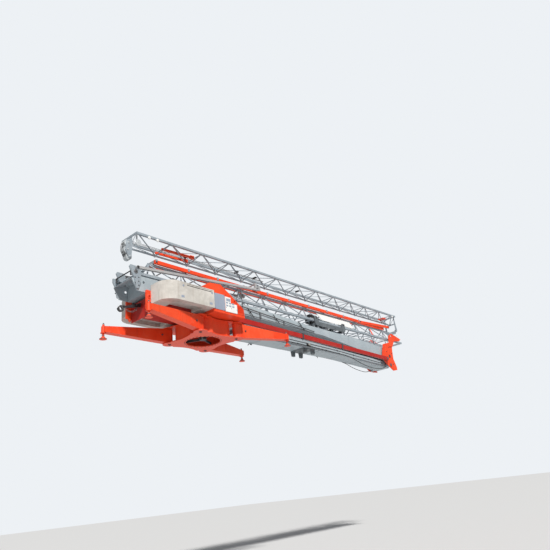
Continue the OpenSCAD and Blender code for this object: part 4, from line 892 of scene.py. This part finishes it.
def jib_end_fittings():
    """Small gear around the two ends of the folded outer section."""
    disc = Fitting()
    disc.turned(outer(0.20, -0.30, 1.13), (0, -1, 0),
                [(0, 0.02), (0, 0.10), (0.012, 0.10), (0.022, 0.082), (0.034, 0.10), (0.046, 0.10),
                 (0.046, 0.02)], 36)
    disc.rod(outer(0.20, -0.355, 1.13), outer(0.20, -0.12, 1.13), 0.02, 14)
    disc.slab(outer(0.20, -0.26, 1.27), (0.05, 0.012, 0.30))
    disc.piece("rope_guide_disc", "jib_outer", PALE_ZINC, "galvanised")
    knobs = Fitting()
    for u, w in ((0.56, 1.37), (0.86, 1.37), (15.25, 1.36)):
        knobs.turned(outer(u, -0.375, w), (0, -1, 0), [(0, 0), (0, 0.05), (0.03, 0.046), (0.04, 0.02),
                                                       (0.04, 0)], 20)
    knobs.piece("cable_glands", "jib_outer", WHITE, "white_panel")
    ties = Fitting()
    for y in (-0.16, 0.16):
        ties.slab(outer(1.75, y, 1.27), (1.15, 0.055, 0.075), outer(1, 0, 0.03) - outer(0, 0, 0))
        ties.slab(outer(2.38, y, 1.29), (0.16, 0.08, 0.11), outer(1, 0, 0.03) - outer(0, 0, 0))
    ties.slab(outer(14.95, 0.05, 1.30), (0.30, 0.30, 0.05))
    ties.piece("tie_bar_ends", "jib_outer", ORANGE, "orange_paint", 0.004)
    black = Fitting()
    for u in (2.30, 4.60, 5.55, 8.10):
        black.rod(outer(u, -0.10, 1.345), outer(u, 0.10, 1.345), 0.022, 12)
        black.slab(outer(u, 0, 1.36), (0.09, 0.16, 0.03))
    black.piece("rope_clips", "jib_outer", DARK, "dark_steel")


def king_fittings():
    part = Fitting()
    for k in range(3):
        u = 0.9 + 1.4 * k
        part.rod(king(u, -0.39, 0), king(u, 0.39, 0), 0.020, 10)
    part.piece("king_post_rungs", "king_post", POST, "galvanised")
    caps = Fitting()
    for y in (NEAR, FAR):
        caps.bolt(king(0, 0.443 * y, 0), (0, y, 0), 0.030)
        caps.bolt(king(5.02, 0.44 * y, 0.03), (0, y, 0), 0.018)
    caps.piece("king_post_bolts", "king_post", BOLT, "dark_steel")


leg_fittings()
jack_fittings()
base_fittings()
platform_fittings()
ballast_fittings()
housing_fittings()
mast_fittings()
upper_mast_fittings()
lattice_fittings()
rope_fittings()
clevises()
trolley_fittings()
jib_end_fittings()
king_fittings()

# Floor, light and background


def pale_world():
    world = bpy.data.worlds.new("studio")
    bpy.context.scene.world = world
    world.use_nodes = True
    nodes, links = world.node_tree.nodes, world.node_tree.links
    out = nodes["World Output"]
    around = nodes["Background"]
    around.inputs["Color"].default_value = (0.93, 0.96, 1.0, 1)
    around.inputs["Strength"].default_value = 0.24
    seen = nodes.new("ShaderNodeBackground")
    seen.inputs["Color"].default_value = tone(0.93, 0.945, 0.96)
    path = nodes.new("ShaderNodeLightPath")
    pick = nodes.new("ShaderNodeMixShader")
    links.new(path.outputs["Is Camera Ray"], pick.inputs[0])
    links.new(around.outputs[0], pick.inputs[1])
    links.new(seen.outputs[0], pick.inputs[2])
    links.new(pick.outputs[0], out.inputs["Surface"])


def floor():
    g = Graph("studio_floor")
    g.set("Base Color", tone(0.84, 0.845, 0.85)).set("Roughness", 0.9)
    bpy.ops.mesh.primitive_plane_add(size=300, location=(0, 0, -6.48))
    ground = bpy.context.object
    ground.name = "floor"
    ground.data.materials.append(g.material)


def sun(name, direction, energy, angle, colour=(1, 1, 1)):
    lamp = bpy.data.lights.new(name, "SUN")
    lamp.energy, lamp.angle, lamp.color = energy, math.radians(angle), colour
    made = bpy.data.objects.new(name, lamp)
    made.rotation_euler = Vector(direction).to_track_quat("-Z", "Y").to_euler()
    bpy.context.scene.collection.objects.link(made)


pale_world()
floor()
sun("key", (0.42, 0.62, -0.66), 4.3, 5, (1.0, 0.97, 0.93))
sun("fill", (0.5, 0.5, 0.55), 0.14, 60, (0.95, 0.97, 1.0))
bpy.context.scene.view_settings.view_transform = "Standard"
